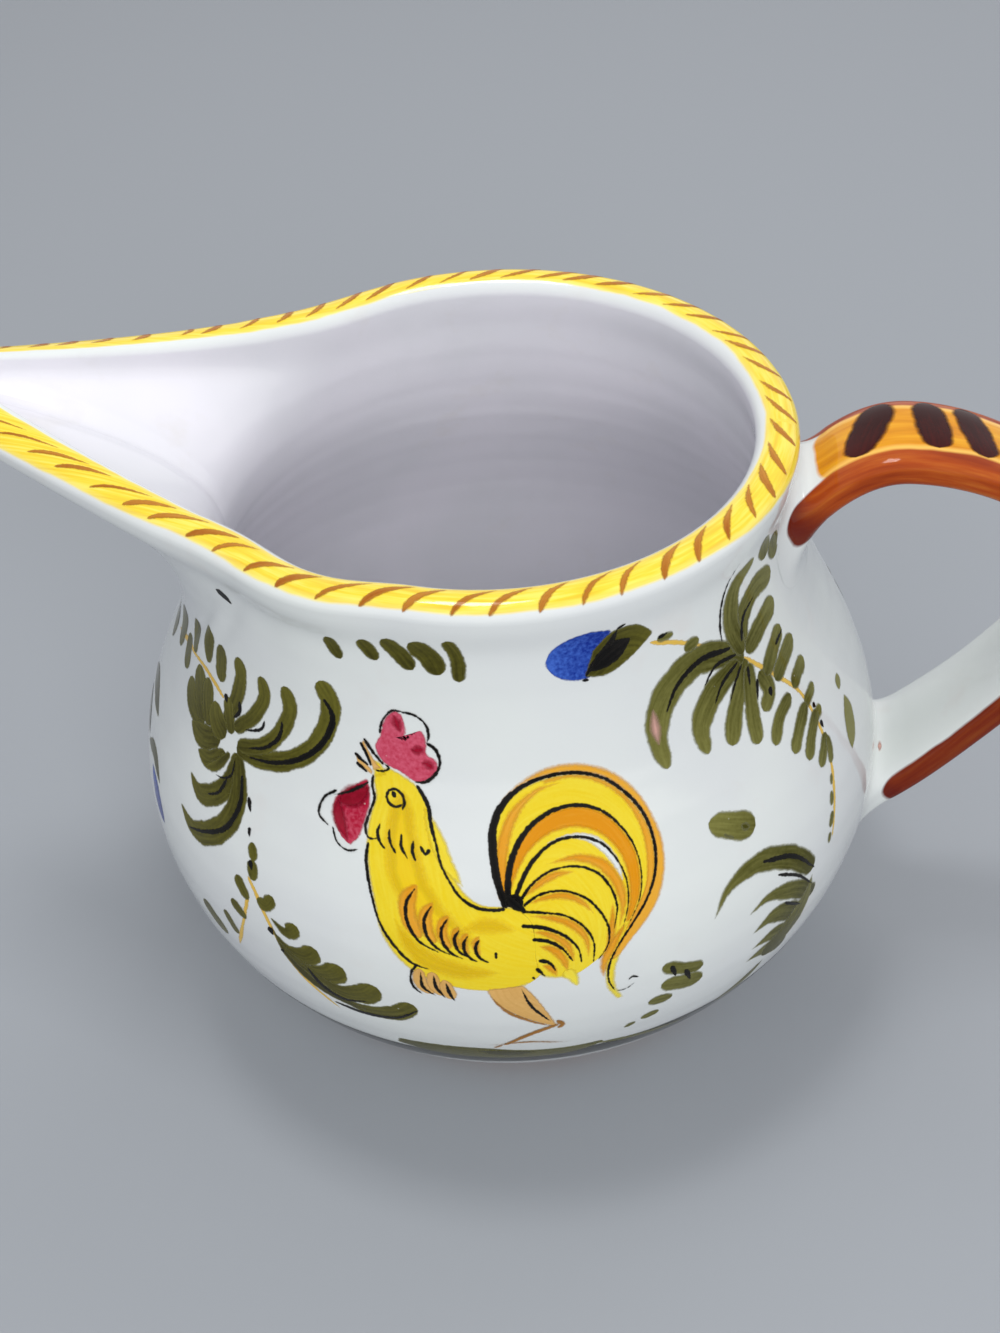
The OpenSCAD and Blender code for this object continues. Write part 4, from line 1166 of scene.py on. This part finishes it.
def paintRooster():
    # a farmyard cock as country potters paint it: yellow body, fan tail in yellow and orange, pen outlines
    place = onWall(rooster["turn"], rooster["up"])
    yellow, deep, orange, red, wine, pen, legs, bare = [], [], [], [], [], [], [], []
    yellow.append(fill(rooster["front"], rooster["back"], (0.7, 0.75), (70, 29)))
    yellow.append(brush([(-13.4, 18.8), (-11.6, 13.6), (-9.9, 8.8), (-7, 4.2)], 3.4, "leaf", (0.7, 0.5)))
    deep += [brush([(-16.8, 21), (-17.6, 12), (-16.6, 4), (-12, -3), (-6, -7)], 8.0,
                   [0.4, 0.8, 1, 1, 0.9, 0.6], (0.4, 0.3)),
             brush([(-20, -3), (-16, -9.6), (-9, -12.6), (-1, -13)], 5.0, "leaf", (0.5, 0.4)),
             brush([(-8, -4), (-3, -3), (2, -4)], 4.0, "leaf", (0.4, 0.4))]
    paintTail(yellow, orange, bare, pen)
    paintHead(yellow, legs, red, wine, pen)
    pen.append(brush([(-22.2, 22.8), (-22.5, 20.6), (-22.2, 18.8), (-23.4, 15.3), (-24.3, 12.5),
                      (-23.8, 10.9), (-22.6, 11), (-21.8, 11.4)], 0.75, "pen"))
    pen.append(brush([(-23.8, 10.2), (-24.4, 7.4), (-24.3, 3.7), (-23.7, -0.1), (-22.6, -4.6), (-20.2, -8.8),
                      (-16.6, -12.2), (-13.9, -12.9)], 0.82, "pen"))
    pen.append(brush([(-14.4, 22.4), (-13.3, 20.6), (-12.5, 18.8), (-12.2, 15.7), (-11.4, 11.7), (-10.7, 8.1),
                      (-9.4, 5.3), (-7.8, 2.6), (-5, 0.6), (-2.4, 0.1), (0.2, 0.3)], 0.95,
                     [0.9, 1.0, 0.9, 0.7, 0.65, 0.7, 0.8, 0.9, 0.9]))
    # feather ticks down the neck
    pen += lines([[(-21.4, 14.1), (-22, 12.1), (-21.6, 10.5), (-20.7, 9.5)],
                  [(-19.7, 13.5), (-19.8, 11.3), (-18.7, 9)], [(-17.5, 13), (-17.7, 10.6), (-16.6, 8.4)],
                  [(-15.4, 12.1), (-15.7, 9.9), (-15.2, 8.2)]], 0.78, [0.5, 0.9, 1.0, 0.9, 0.6])
    pen += lines([[(-14.3, 11.3), (-13.8, 10.4), (-13.2, 9.6)], [(-12.5, 10.9), (-13.4, 9.8)]], 0.85,
                 [0.7, 1.0, 0.7])
    # the wing: hooked pen lines, each with an orange petal beside it, smaller towards the tail
    for k, (x, y, size) in enumerate([(-15.5, 3.4, 1.0), (-12.7, 0.4, 0.78), (-10.0, -1.8, 0.66),
                                      (-8.1, -3.9, 0.46), (-6.6, -5.0, 0.44), (-4.6, -5.6, 0.40)]):
        hook = [(x, y), (x - 1.9 * size, y - 3.4 * size), (x - 1.8 * size, y - 7.2 * size),
                (x + 0.2 * size, y - 10.6 * size), (x + 3.6 * size, y - 12.4 * size)]
        petal = [(p[0] + 0.5 * size - 0.2, p[1] + 0.7) for p in hook[:4]]
        orange.append(brush(petal, 3.4 * size + 0.5, [0.4, 0.9, 1.0, 0.9, 0.5], (0.6, 0.4)))
        pen.append(brush(hook, 0.85, [0.4, 0.9, 1.0, 0.95, 0.8, 0.4]))
    pen += lines([[(-1.9, -8.3), (-1.9, -9.8)], [(4.3, -14.1), (4.7, -14.8)]], 0.65, "dab")
    # thigh with its feathers, and the striding leg
    feathers = [[(-15.6, -13.6), (-15.3, -17.6), (-13.1, -19.4)], [(-13.3, -14), (-13, -17), (-11.4, -19.8)],
                [(-11.2, -15.6), (-10.6, -18.4), (-9.7, -20.6)]]
    for line in feathers:
        beside = [(p[0] - 0.3, p[1] + 0.6) for p in line]
        legs.append(brush(beside, 3.0, [0.7, 1.0, 1.0, 0.6], (0.6, 0.4)))
    pen += lines(feathers, 0.85, "leaf")
    pen.append(brush([(-16.2, -12.2), (-17.4, -14.4), (-17.1, -17.8), (-15.6, -19.4)], 0.75, "pen"))
    legs.append(fill([(-4.2, -16.8), (-2.8, -20.4), (0.2, -23.8), (4, -26.8), (8.2, -29.6)],
                     [(2.6, -16), (4.6, -18.8), (5.8, -21.4), (7.2, -25), (8.5, -29.2)], (0.45, 0.5),
                     (30, 11)))
    shank = lines([[(-3.6, -18.1), (-0.7, -23.1), (3.1, -26.3), (8.2, -29.6)]], 1.1, "leaf", (0.7, 0.9))
    shank += lines([[(8.6, -28.6), (3.4, -31.6), (-1.8, -36.4)], [(8.3, -27), (9.2, -29), (8.4, -30.2)]], 1.5,
                   [0.7, 1, 0.9, 0.7], (0.8, 0.7))
    shank += lines([[(-4.6, -36.6), (2.8, -35.2), (10.6, -37.4)], [(-1.6, -36), (-4, -38.6)]], 0.9, "leaf",
                   (0.8, 0.7))
    pen.append(brush([(2.2, -16.8), (3.7, -21.5), (7.5, -27.7)], 0.8, "leaf", (1, 0.7)))
    layPaint("cock_yellow", place, yellow, "yellow", 0.04)
    layPaint("cock_yellow_deep", place, deep, "deepYellow", 0.066)
    layPaint("cock_orange", place, orange, "orange", 0.088)
    layPaint("cock_legs", place, legs, "tan", 0.066)
    layPaint("cock_bare_gaps", place, bare, "white", 0.11)
    layPaint("cock_shank", place, shank, "shank", 0.11)
    layPaint("cock_comb", place, red, "red", 0.066)
    layPaint("cock_comb_shade", place, wine, "wine", 0.088)
    layPaint("cock_outline", place, pen, "black", 0.13)


leftSpray = {"lobes": [([(17.3, 23.2), (20, 19.4), (20.2, 14.2), (18.1, 8.4), (13.3, 3.9), (7.2, 1.3),
                         (1.4, 0.2)], 4.3),
                       ([(9.9, 18.8), (12, 14.6), (11.4, 10.4), (8.4, 4.9), (1.4, 0.6)], 3.7),
                       ([(3.9, 17.6), (5.6, 14.4), (4.5, 9.8), (-0.4, 3)], 3.6),
                       ([(-2.7, 17.6), (-1.3, 14), (-1.7, 9.1), (-3.4, 2.4)], 4.0),
                       ([(-4.4, 7.7), (-2.9, 5.1), (-0.8, 1.6)], 3.5),
                       ([(-7.9, 4.4), (-6.4, 1.8), (-2.2, 0)], 5.8),
                       ([(-19.7, 1.4), (-16.4, -0.9), (-9.6, -1.8)], 5.4),
                       ([(-16.5, 6.3), (-14, 2.7), (-9.4, -1.2)], 5.8),
                       ([(-11.6, 6.8), (-10.6, 3), (-7.6, -1)], 5.0)],
             "claws": [([(-14.4, -4.4), (-9.9, -4.3), (-3.4, -1)], 5.2),
                       ([(-9.6, -7.2), (-6, -6.9), (-0.8, -2.6)], 3.8),
                       ([(-6.2, -8.7), (-2.8, -6.5), (0.2, -1.8)], 2.4),
                       ([(-10, -12.4), (-6.2, -14), (-0.7, -11.2), (2.3, -6), (2, -0.6)], 4.8),
                       ([(-11, -20.4), (-5.9, -22), (1.3, -18.4), (5, -12.5), (5, -6.7), (2.2, -0.8)], 5.6)],
             "drops": [([(24.6, -26.6), (22.3, -29.3), (18.4, -27.7)], 4.0),
                       ([(29, -30.3), (26.2, -33.3), (22.9, -33.4), (19.2, -31)], 5.0),
                       ([(34.4, -32.5), (31, -35.9), (27.7, -36.8), (24, -35.3), (20.8, -32.5)], 5.6),
                       ([(41, -35.1), (37.6, -38.6), (33.5, -39.7), (29.4, -38.3), (25.3, -35.5)], 5.6),
                       ([(47.6, -38.2), (43.9, -42), (39, -43.6), (33, -42.4), (27, -38)], 5.0)],
             "dabs": [([(-8.4, 16), (-8, 12.3), (-7.5, 8.7)], 4.4),
                      ([(-12.6, 17), (-13.2, 12.5), (-13.1, 9)], 3.8),
                      ([(-20, 12.2), (-20.4, 9), (-19, 6.6)], 4.8),
                      ([(-29.5, 7.6), (-30.6, 3.6), (-31.3, 0)], 5.5),
                      ([(-40, 2), (-40, -1), (-39.9, -4)], 5.0),
                      ([(-25, 6.4), (-23.7, 3.7), (-23.4, 0.5)], 5.0), ([(11.2, -14.5), (12.8, -18)], 2.6),
                      ([(12.2, -17.8), (13.5, -22)], 3.1), ([(9, -23), (10.8, -25), (12.9, -26.8)], 2.8),
                      ([(8, -29.5), (9.9, -30.7), (12.3, -31.9)], 2.7),
                      ([(5.6, -34.1), (7.1, -36.5), (8.7, -39)], 2.6),
                      ([(-2.6, -38), (0.4, -40.4), (4.2, -43)], 4.2),
                      ([(18.4, -22.8), (16.9, -25.6), (14.8, -25.2)], 3.2)],
             "stems": [[(-5.2, 6.6), (-8.6, 7.2), (-12.7, 7.4), (-20.5, 6.1), (-34.8, 0.7)],
                       [(11.9, -21.6), (14.8, -24.7), (19.5, -31.4), (23.5, -38), (28.2, -43.5), (31.2, -47)],
                       [(12.7, -25.9), (11.4, -32.8), (7.8, -42.8)]],
             "veins": [([(18.7, 19.8), (20.9, 16.9), (20.5, 11.8), (17.2, 6.7), (12.1, 3), (5, 0.3)], 1.1),
                       ([(10.8, 11.4), (11.1, 8.9), (8.9, 4.8), (4.4, 1.9)], 0.8),
                       ([(6.7, 9.4), (6.7, 7.8), (4.8, 6), (2.1, 4.7)], 0.6),
                       ([(-0.7, 9.1), (0, 7.3), (-1.3, 4.9)], 0.9), ([(-5.2, 7.8), (-4, 6.4)], 1.2),
                       ([(4.8, -3.7), (6.2, -8.6), (4.5, -15.1), (-1.3, -20), (-6.9, -22.8)], 1.0),
                       ([(1.3, -6.5), (0, -10.4), (-3, -12.7)], 0.7),
                       ([(1.9, -2.2), (2.2, -5.2), (-0.3, -7.4), (-2.1, -7.9)], 0.5),
                       ([(7.8, -6.7), (9.2, -9.3)], 0.9), ([(9.9, -12), (10.5, -14)], 0.8),
                       ([(11.8, -18.1), (12.7, -20)], 1.0), ([(18.1, -30.1), (19.1, -31.8)], 1.3),
                       ([(20.9, -34.2), (21.4, -35.2)], 0.8),
                       ([(26.5, -36.1), (29.1, -40), (33, -42), (38.3, -40.4)], 0.9),
                       ([(30.5, -44.6), (36.9, -45.2), (43.3, -43.8), (48.4, -39.6)], 0.9)]}
rightSpray = {"lobes": [([(-5.4, -5.6), (-2.9, -0.7), (0.6, 4), (3, 7.8)], 4.6),
                        ([(0.4, -8.6), (1.1, -3.1), (2.5, 2), (3.7, 6.4)], 4.1),
                        ([(3.9, -11.2), (7.3, -7.3), (12.3, -5.6)], 3.8),
                        ([(3.8, -3.9), (6.9, -1.6), (5.6, 3.4)], 4.1),
                        ([(7.8, -15.5), (11.5, -12.4), (15.9, -9.8)], 3.8),
                        ([(11.1, -19.2), (14.1, -15.9), (18.3, -13)], 3.7),
                        ([(13.8, -22.6), (16.4, -20.4), (18.9, -18.3)], 3.4),
                        ([(17.4, -24.2), (18.4, -21.7), (18.8, -19)], 2.6),
                        ([(15.4, 17.8), (8.5, 18.3), (4.3, 15.2), (2.6, 9.4)], 5.2),
                        ([(15, 12.5), (10.4, 11.3), (3.6, 8.4)], 5.2),
                        ([(15.2, 7), (11.2, 4.5), (7, 1.6)], 4.6),
                        ([(18.4, 2.7), (13.7, 1.1), (9.2, -0.9)], 4.4),
                        ([(20, -3.2), (16.9, -3.8), (13.4, -5.2)], 3.8),
                        ([(20.4, -8.8), (17.9, -9.5), (15.2, -10.1)], 3.1),
                        ([(20.2, -13.6), (18.3, -13.8), (16.6, -13.9)], 2.9)],
              "tipped": [([(-19, -3.6), (-18.7, 3.8), (-14.8, 10.2), (-8.4, 13.2), (-2, 11.4), (2.8, 7.6)],
                          6.4), ([(-10.7, -4.5), (-10.4, 0.8), (-6.7, 5.2), (1.6, 8)], 5.4),
                         ([(9.2, 24.9), (3.1, 22.3), (1.3, 17), (2.8, 8.6)], 4.6)],
              "dabs": [([(13.2, 21.8), (13, 27)], 5.4), ([(16.6, 24.6), (18, 19.4)], 6.0),
                       ([(-15.2, 21.1), (-11.7, 20.9)], 2.0), ([(-10.1, 16.5), (-6.6, 17.4)], 3.2),
                       ([(16.5, -25.6), (15.6, -27.7)], 1.6), ([(15.1, -28.5), (14.2, -31.4)], 1.9),
                       ([(14.2, -32.4), (12.5, -35.3)], 2.1), ([(12.3, -36), (11.5, -38.3)], 1.7)],
              "wisps": [([(30.5, -14), (28.9, -16.7)], 3.3),
                        ([(30.3, -18.5), (29.1, -23.4), (26.6, -28)], 5.6)],
              "stems": [[(2.7, 8.2), (9.8, -0.1), (15.2, -7.4), (17.4, -15.2), (17.8, -22), (16, -29.4),
                         (12.7, -38.1)], [(-16.6, 21.2), (-10.3, 18.3), (-2.8, 12.7), (2.3, 8.9)]],
              "veins": [([(0.1, 11.6), (-7.6, 13), (-12.6, 10.8), (-16.1, 6.5)], 1.0),
                        ([(1.3, 9.6), (-4.4, 10.2), (-7.4, 7.9)], 0.7),
                        ([(1.2, 8.2), (-3.5, 6.4), (-6.5, 3.4)], 0.7),
                        ([(2, 7.3), (-0.8, 4.8), (-2.9, 2.3)], 0.6), ([(3.2, 6), (2.5, 2.3)], 0.7),
                        ([(4.7, 2.6), (3.3, -1.4)], 0.7), ([(3, 11), (4.7, 15.4), (8.6, 17.3)], 0.7),
                        ([(12, 4.7), (15.6, 5.7)], 0.7),
                        ([(-1.7, 13.7), (-1.2, 19.4), (1.4, 24.7), (4.1, 27.4)], 0.5),
                        ([(7.2, -0.8), (7, -2.8)], 1.0), ([(-15, 21.3), (-12.9, 21.7)], 0.7),
                        ([(18.2, -15.4), (18.6, -17.2)], 1.0), ([(17.6, -11.4), (18.4, -12.6)], 0.9)]}
lowSpray = {"dabs": [([(-22.2, -45.8), (-26.6, -44.1), (-30.8, -41.6)], 3.6),
                     ([(-22, -49.4), (-26.3, -48.3), (-30.9, -46.7)], 4.6),
                     ([(-28, -51.9), (-33.1, -51.2)], 3.6), ([(-30, -55.8), (-33.6, -57)], 2.8),
                     ([(-34.4, -57.6), (-36.3, -59.2)], 2.0)],
            "sickles": [([(-19.5, -35.4), (-15.4, -30.6), (-8.2, -29), (-0.7, -32.4), (5.9, -39.8)], 5.6),
                        ([(-12.2, -39.2), (-7.6, -37.8), (-0.4, -40.6), (6.5, -47)], 4.6),
                        ([(-11.2, -44.8), (-6.6, -43.4), (1.9, -48)], 5.2),
                        ([(-10.8, -49.6), (-5.8, -49.3), (1.3, -53)], 5.0),
                        ([(-11.6, -53.4), (-7.2, -53), (0, -57)], 5.0),
                        ([(5.6, -41), (3.2, -47), (-1.2, -52), (-6.8, -55.4)], 7.0)],
            "veins": [([(-7.1, -29.3), (-0.1, -32.5), (6.4, -40.2)], 0.9),
                      ([(-4.2, -34.1), (1, -38), (5.4, -43.6)], 0.7), ([(-3, -42), (2.5, -47)], 0.7),
                      ([(-29, -42.1), (-28, -45.5)], 0.9), ([(-26.1, -44.6), (-24.8, -48.4)], 0.9)]}


def paintSpray(name, spray, place, green, shade):
    strokes = []
    for part, form, load in (("lobes", "lobe", (0.4, 0.75)), ("claws", "claw", (0.5, 0.8)),
                             ("tipped", "tipped", (0.35, 0.8)), ("drops", "drop", (0.5, 0.8)),
                             ("dabs", "dab", (0.6, 0.5)), ("wisps", "leaf", (0.1, 0.1)),
                             ("sickles", [0.1, 0.36, 0.7, 0.95, 1.0, 0.95, 0.8], (0.45, 0.9))):
        strokes += leaves(spray.get(part, []), form, load)
    layPaint(name + "_leaves", place, strokes, green, 0.05)
    layPaint(name + "_veins", place, leaves([(p, 1.3 * w) for p, w in spray["veins"]], "vein", shade),
             "black", 0.085)
    if "stems" in spray:
        layPaint(name + "_stems", place, lines(spray["stems"], 1.2, "pen", (0.5, 0.4)), "stem", 0.035)


def paintBud(name, place):
    # a cobalt bud, granular where the coarse pigment didn't melt, in an olive calyx
    layPaint(name + "_petal", place,
             [fill([(8.3, 45.3), (9.2, 47.7), (12, 49.9), (15.6, 50.9), (20, 50.2)],
                   [(8.5, 44.7), (9.9, 42.7), (12.4, 41.3), (15, 41), (18.6, 42.6)], (0.45, 0.85), (30, 13))],
             "blue", 0.045)
    layPaint(name + "_calyx", place,
             [fill([(16.4, 46.4), (20.2, 49.8), (24, 49.8), (27.4, 46.8)],
                   [(14.8, 41.4), (18.8, 40.8), (22.8, 42.6), (27.4, 46)], (0.8, 0.5), (30, 11))], "olive",
             0.06)
    layPaint(name + "_ink", place,
             leaves([([(15, 41.4), (16.4, 43.4), (18.6, 45.6), (21, 50)], 1.6),
                     ([(16, 42.4), (19.6, 45), (23.2, 47)], 4.2), ([(14.4, 41), (15.8, 40.8)], 0.8),
                     ([(20.6, 49.8), (22.4, 50.6)], 0.8)], "leaf", (0.9, 0.7)), "black", 0.085)


def aroundWall(xy):
    # x is the turn in degrees and y the way up the wall in mm
    row = np.interp(xy[..., 1], wallUp, wallRows)
    column = np.interp((xy[..., 0] + 180) % 360 - 180, turnsClosed, np.arange(len(turnsClosed)))
    return blendAt(jugPoints, row, column), unit(blendAt(jugNormals, row, column))


def paintBaseShadeRing():
    # a dark ring round the base where the belly turns in to the foot, its top edge uneven: painted shade for
    # the dark edge along the bottom
    t = np.linspace(-184, 184, 47)
    top = 28.4 + 0.6 * np.sin(np.radians(3 * t + 40)) + 0.4 * np.sin(np.radians(7 * t))
    strokes = [fill(list(zip(t, top)), list(zip(t, top - 9.4 + 0.5 * np.sin(np.radians(5 * t)))), (1.1, 0.9),
                    (420, 8))]
    layPaint("base_shade_ring", aroundWall, strokes, "ring", 0.04)


def paintLeaves():
    # fern sprays in olive with manganese veins; the far side, which the photo hides, has them turned about
    for side, flip in (("near", 1), ("far", -1)):
        centre = onWall(flip * rooster["turn"], rooster["up"], flip)
        left, right = onWall(flip * 44.5, 85.85, flip), onWall(flip * 140, 94.25, flip)
        paintSpray("spout_spray_" + side, leftSpray, left, "olive", (1.1, 1.0))
        # the sprays, low leaves and blot beside the handle take the olive painted paler as painted sheen
        paintSpray("handle_spray_" + side, rightSpray, right, "sheenOlive", (0.9, 0.8))
        paintSpray("low_spray_" + side, lowSpray, right, "sheenOlive", (0.8, 0.7))
        paintBud("bud_" + side, centre)
        blot = [brush([(-15.4, -16.4), (-10.9, -19.1), (-6.2, -21.8)], 6.0, [0.7, 0.9, 1, 1, 0.85],
                      (0.25, 0.6)),
                brush([(-9.2, -20), (-7.6, -21.4)], 1.9, "dab", (1.3, 1.3)),
                brush([(-13.2, -19.8), (-11.4, -21.6)], 1.0, "dab", (1.4, 1.4))]
        layPaint("blot_" + side, right, blot, "sheenOlive", 0.04)
        dashes = leaves([([(-28.8, 48.6), (-26.6, 44)], 3.0), ([(-22.6, 49.4), (-19.8, 45)], 3.1),
                         ([(-18.6, 50.2), (-16, 47.4), (-13.6, 44)], 3.8),
                         ([(-14, 50), (-11, 47.6), (-9, 43.6)], 4.6),
                         ([(-7.6, 51.6), (-6, 47.3), (-5.9, 42.4)], 2.9)], "dab", (0.6, 0.8))
        layPaint("dashes_" + side, centre, dashes, "olive", 0.05)
        washes = [fill([(-22, -39), (-13.4, -38.6), (-5.4, -38.6), (2.6, -40), (10.2, -40.4), (17, -39.8)],
                       [(-22.6, -42), (-14.6, -45), (-6, -46), (3, -46), (10.2, -45.4), (17, -41.4)],
                       (0.7, 0.5), (50, 11)),
                  brush([(14, -41), (24, -43.4), (36, -45.4)], 2.4, "leaf", (0.5, 0.3)),
                  brush([(52, -34.5), (47, -40), (40, -44)], 3.0, "leaf", (0.5, 0.3))]
        washes += lines([[(-7, -40.4), (-1, -42), (4, -41.4)]], 4.0, "leaf", (1.4, 1.2))
        layPaint("base_wash_" + side, centre, washes, "olive", 0.05)
        stalk = lines([[(18.6, -29.6), (22.5, -35.4), (27.2, -40), (33, -42.8), (39, -43.8)]], 2.8, "leaf",
                      (0.9, 1.0))
        layPaint("stalk_" + side, left, stalk, "olive", 0.06)
        layPaint("spout_tick_" + side, left, lines([[(-6.6, 30.6), (-5, 29.7), (-3.8, 28.4)]], 2.2, "vein"),
                 "black", 0.06)
        layPaint("leaf_blush_" + side, right,
                 lines([[(-18.2, 8.4), (-18.8, 4.8), (-19.1, 1.2)]], 2.4, "leaf", (0.3, 0.2)), "blush", 0.1)
    layPaint("strap_blush", onStrap,
             [brush([(strapLength - 14, 24.2), (strapLength - 12, 24.2)], 3.2, "dab", (0.2, 0.1))], "blush",
             0.05)
    # a small sprig with a cobalt bud under the spout, of which the photo shows no more than the edge
    front = onWall(16, 62)
    layPaint("front_bud", front, leaves([([(7, -1.5), (12, -4.5), (18, -8)], 5.0)], "leaf", (0.6, 1.1)),
             "blue", 0.045)
    layPaint("front_leaves", front,
             leaves([([(0, -1), (7, 1.6), (14, -1)], 3.6), ([(-14, 7), (-6, 9), (4, 8)], 4.4),
                     ([(-16, 0), (-9, 2), (0, 0)], 4.4)], "leaf", (0.7, 0.8)), "olive", 0.06)


paintRooster()
paintLeaves()
paintBaseShadeRing()
print("wall painted")
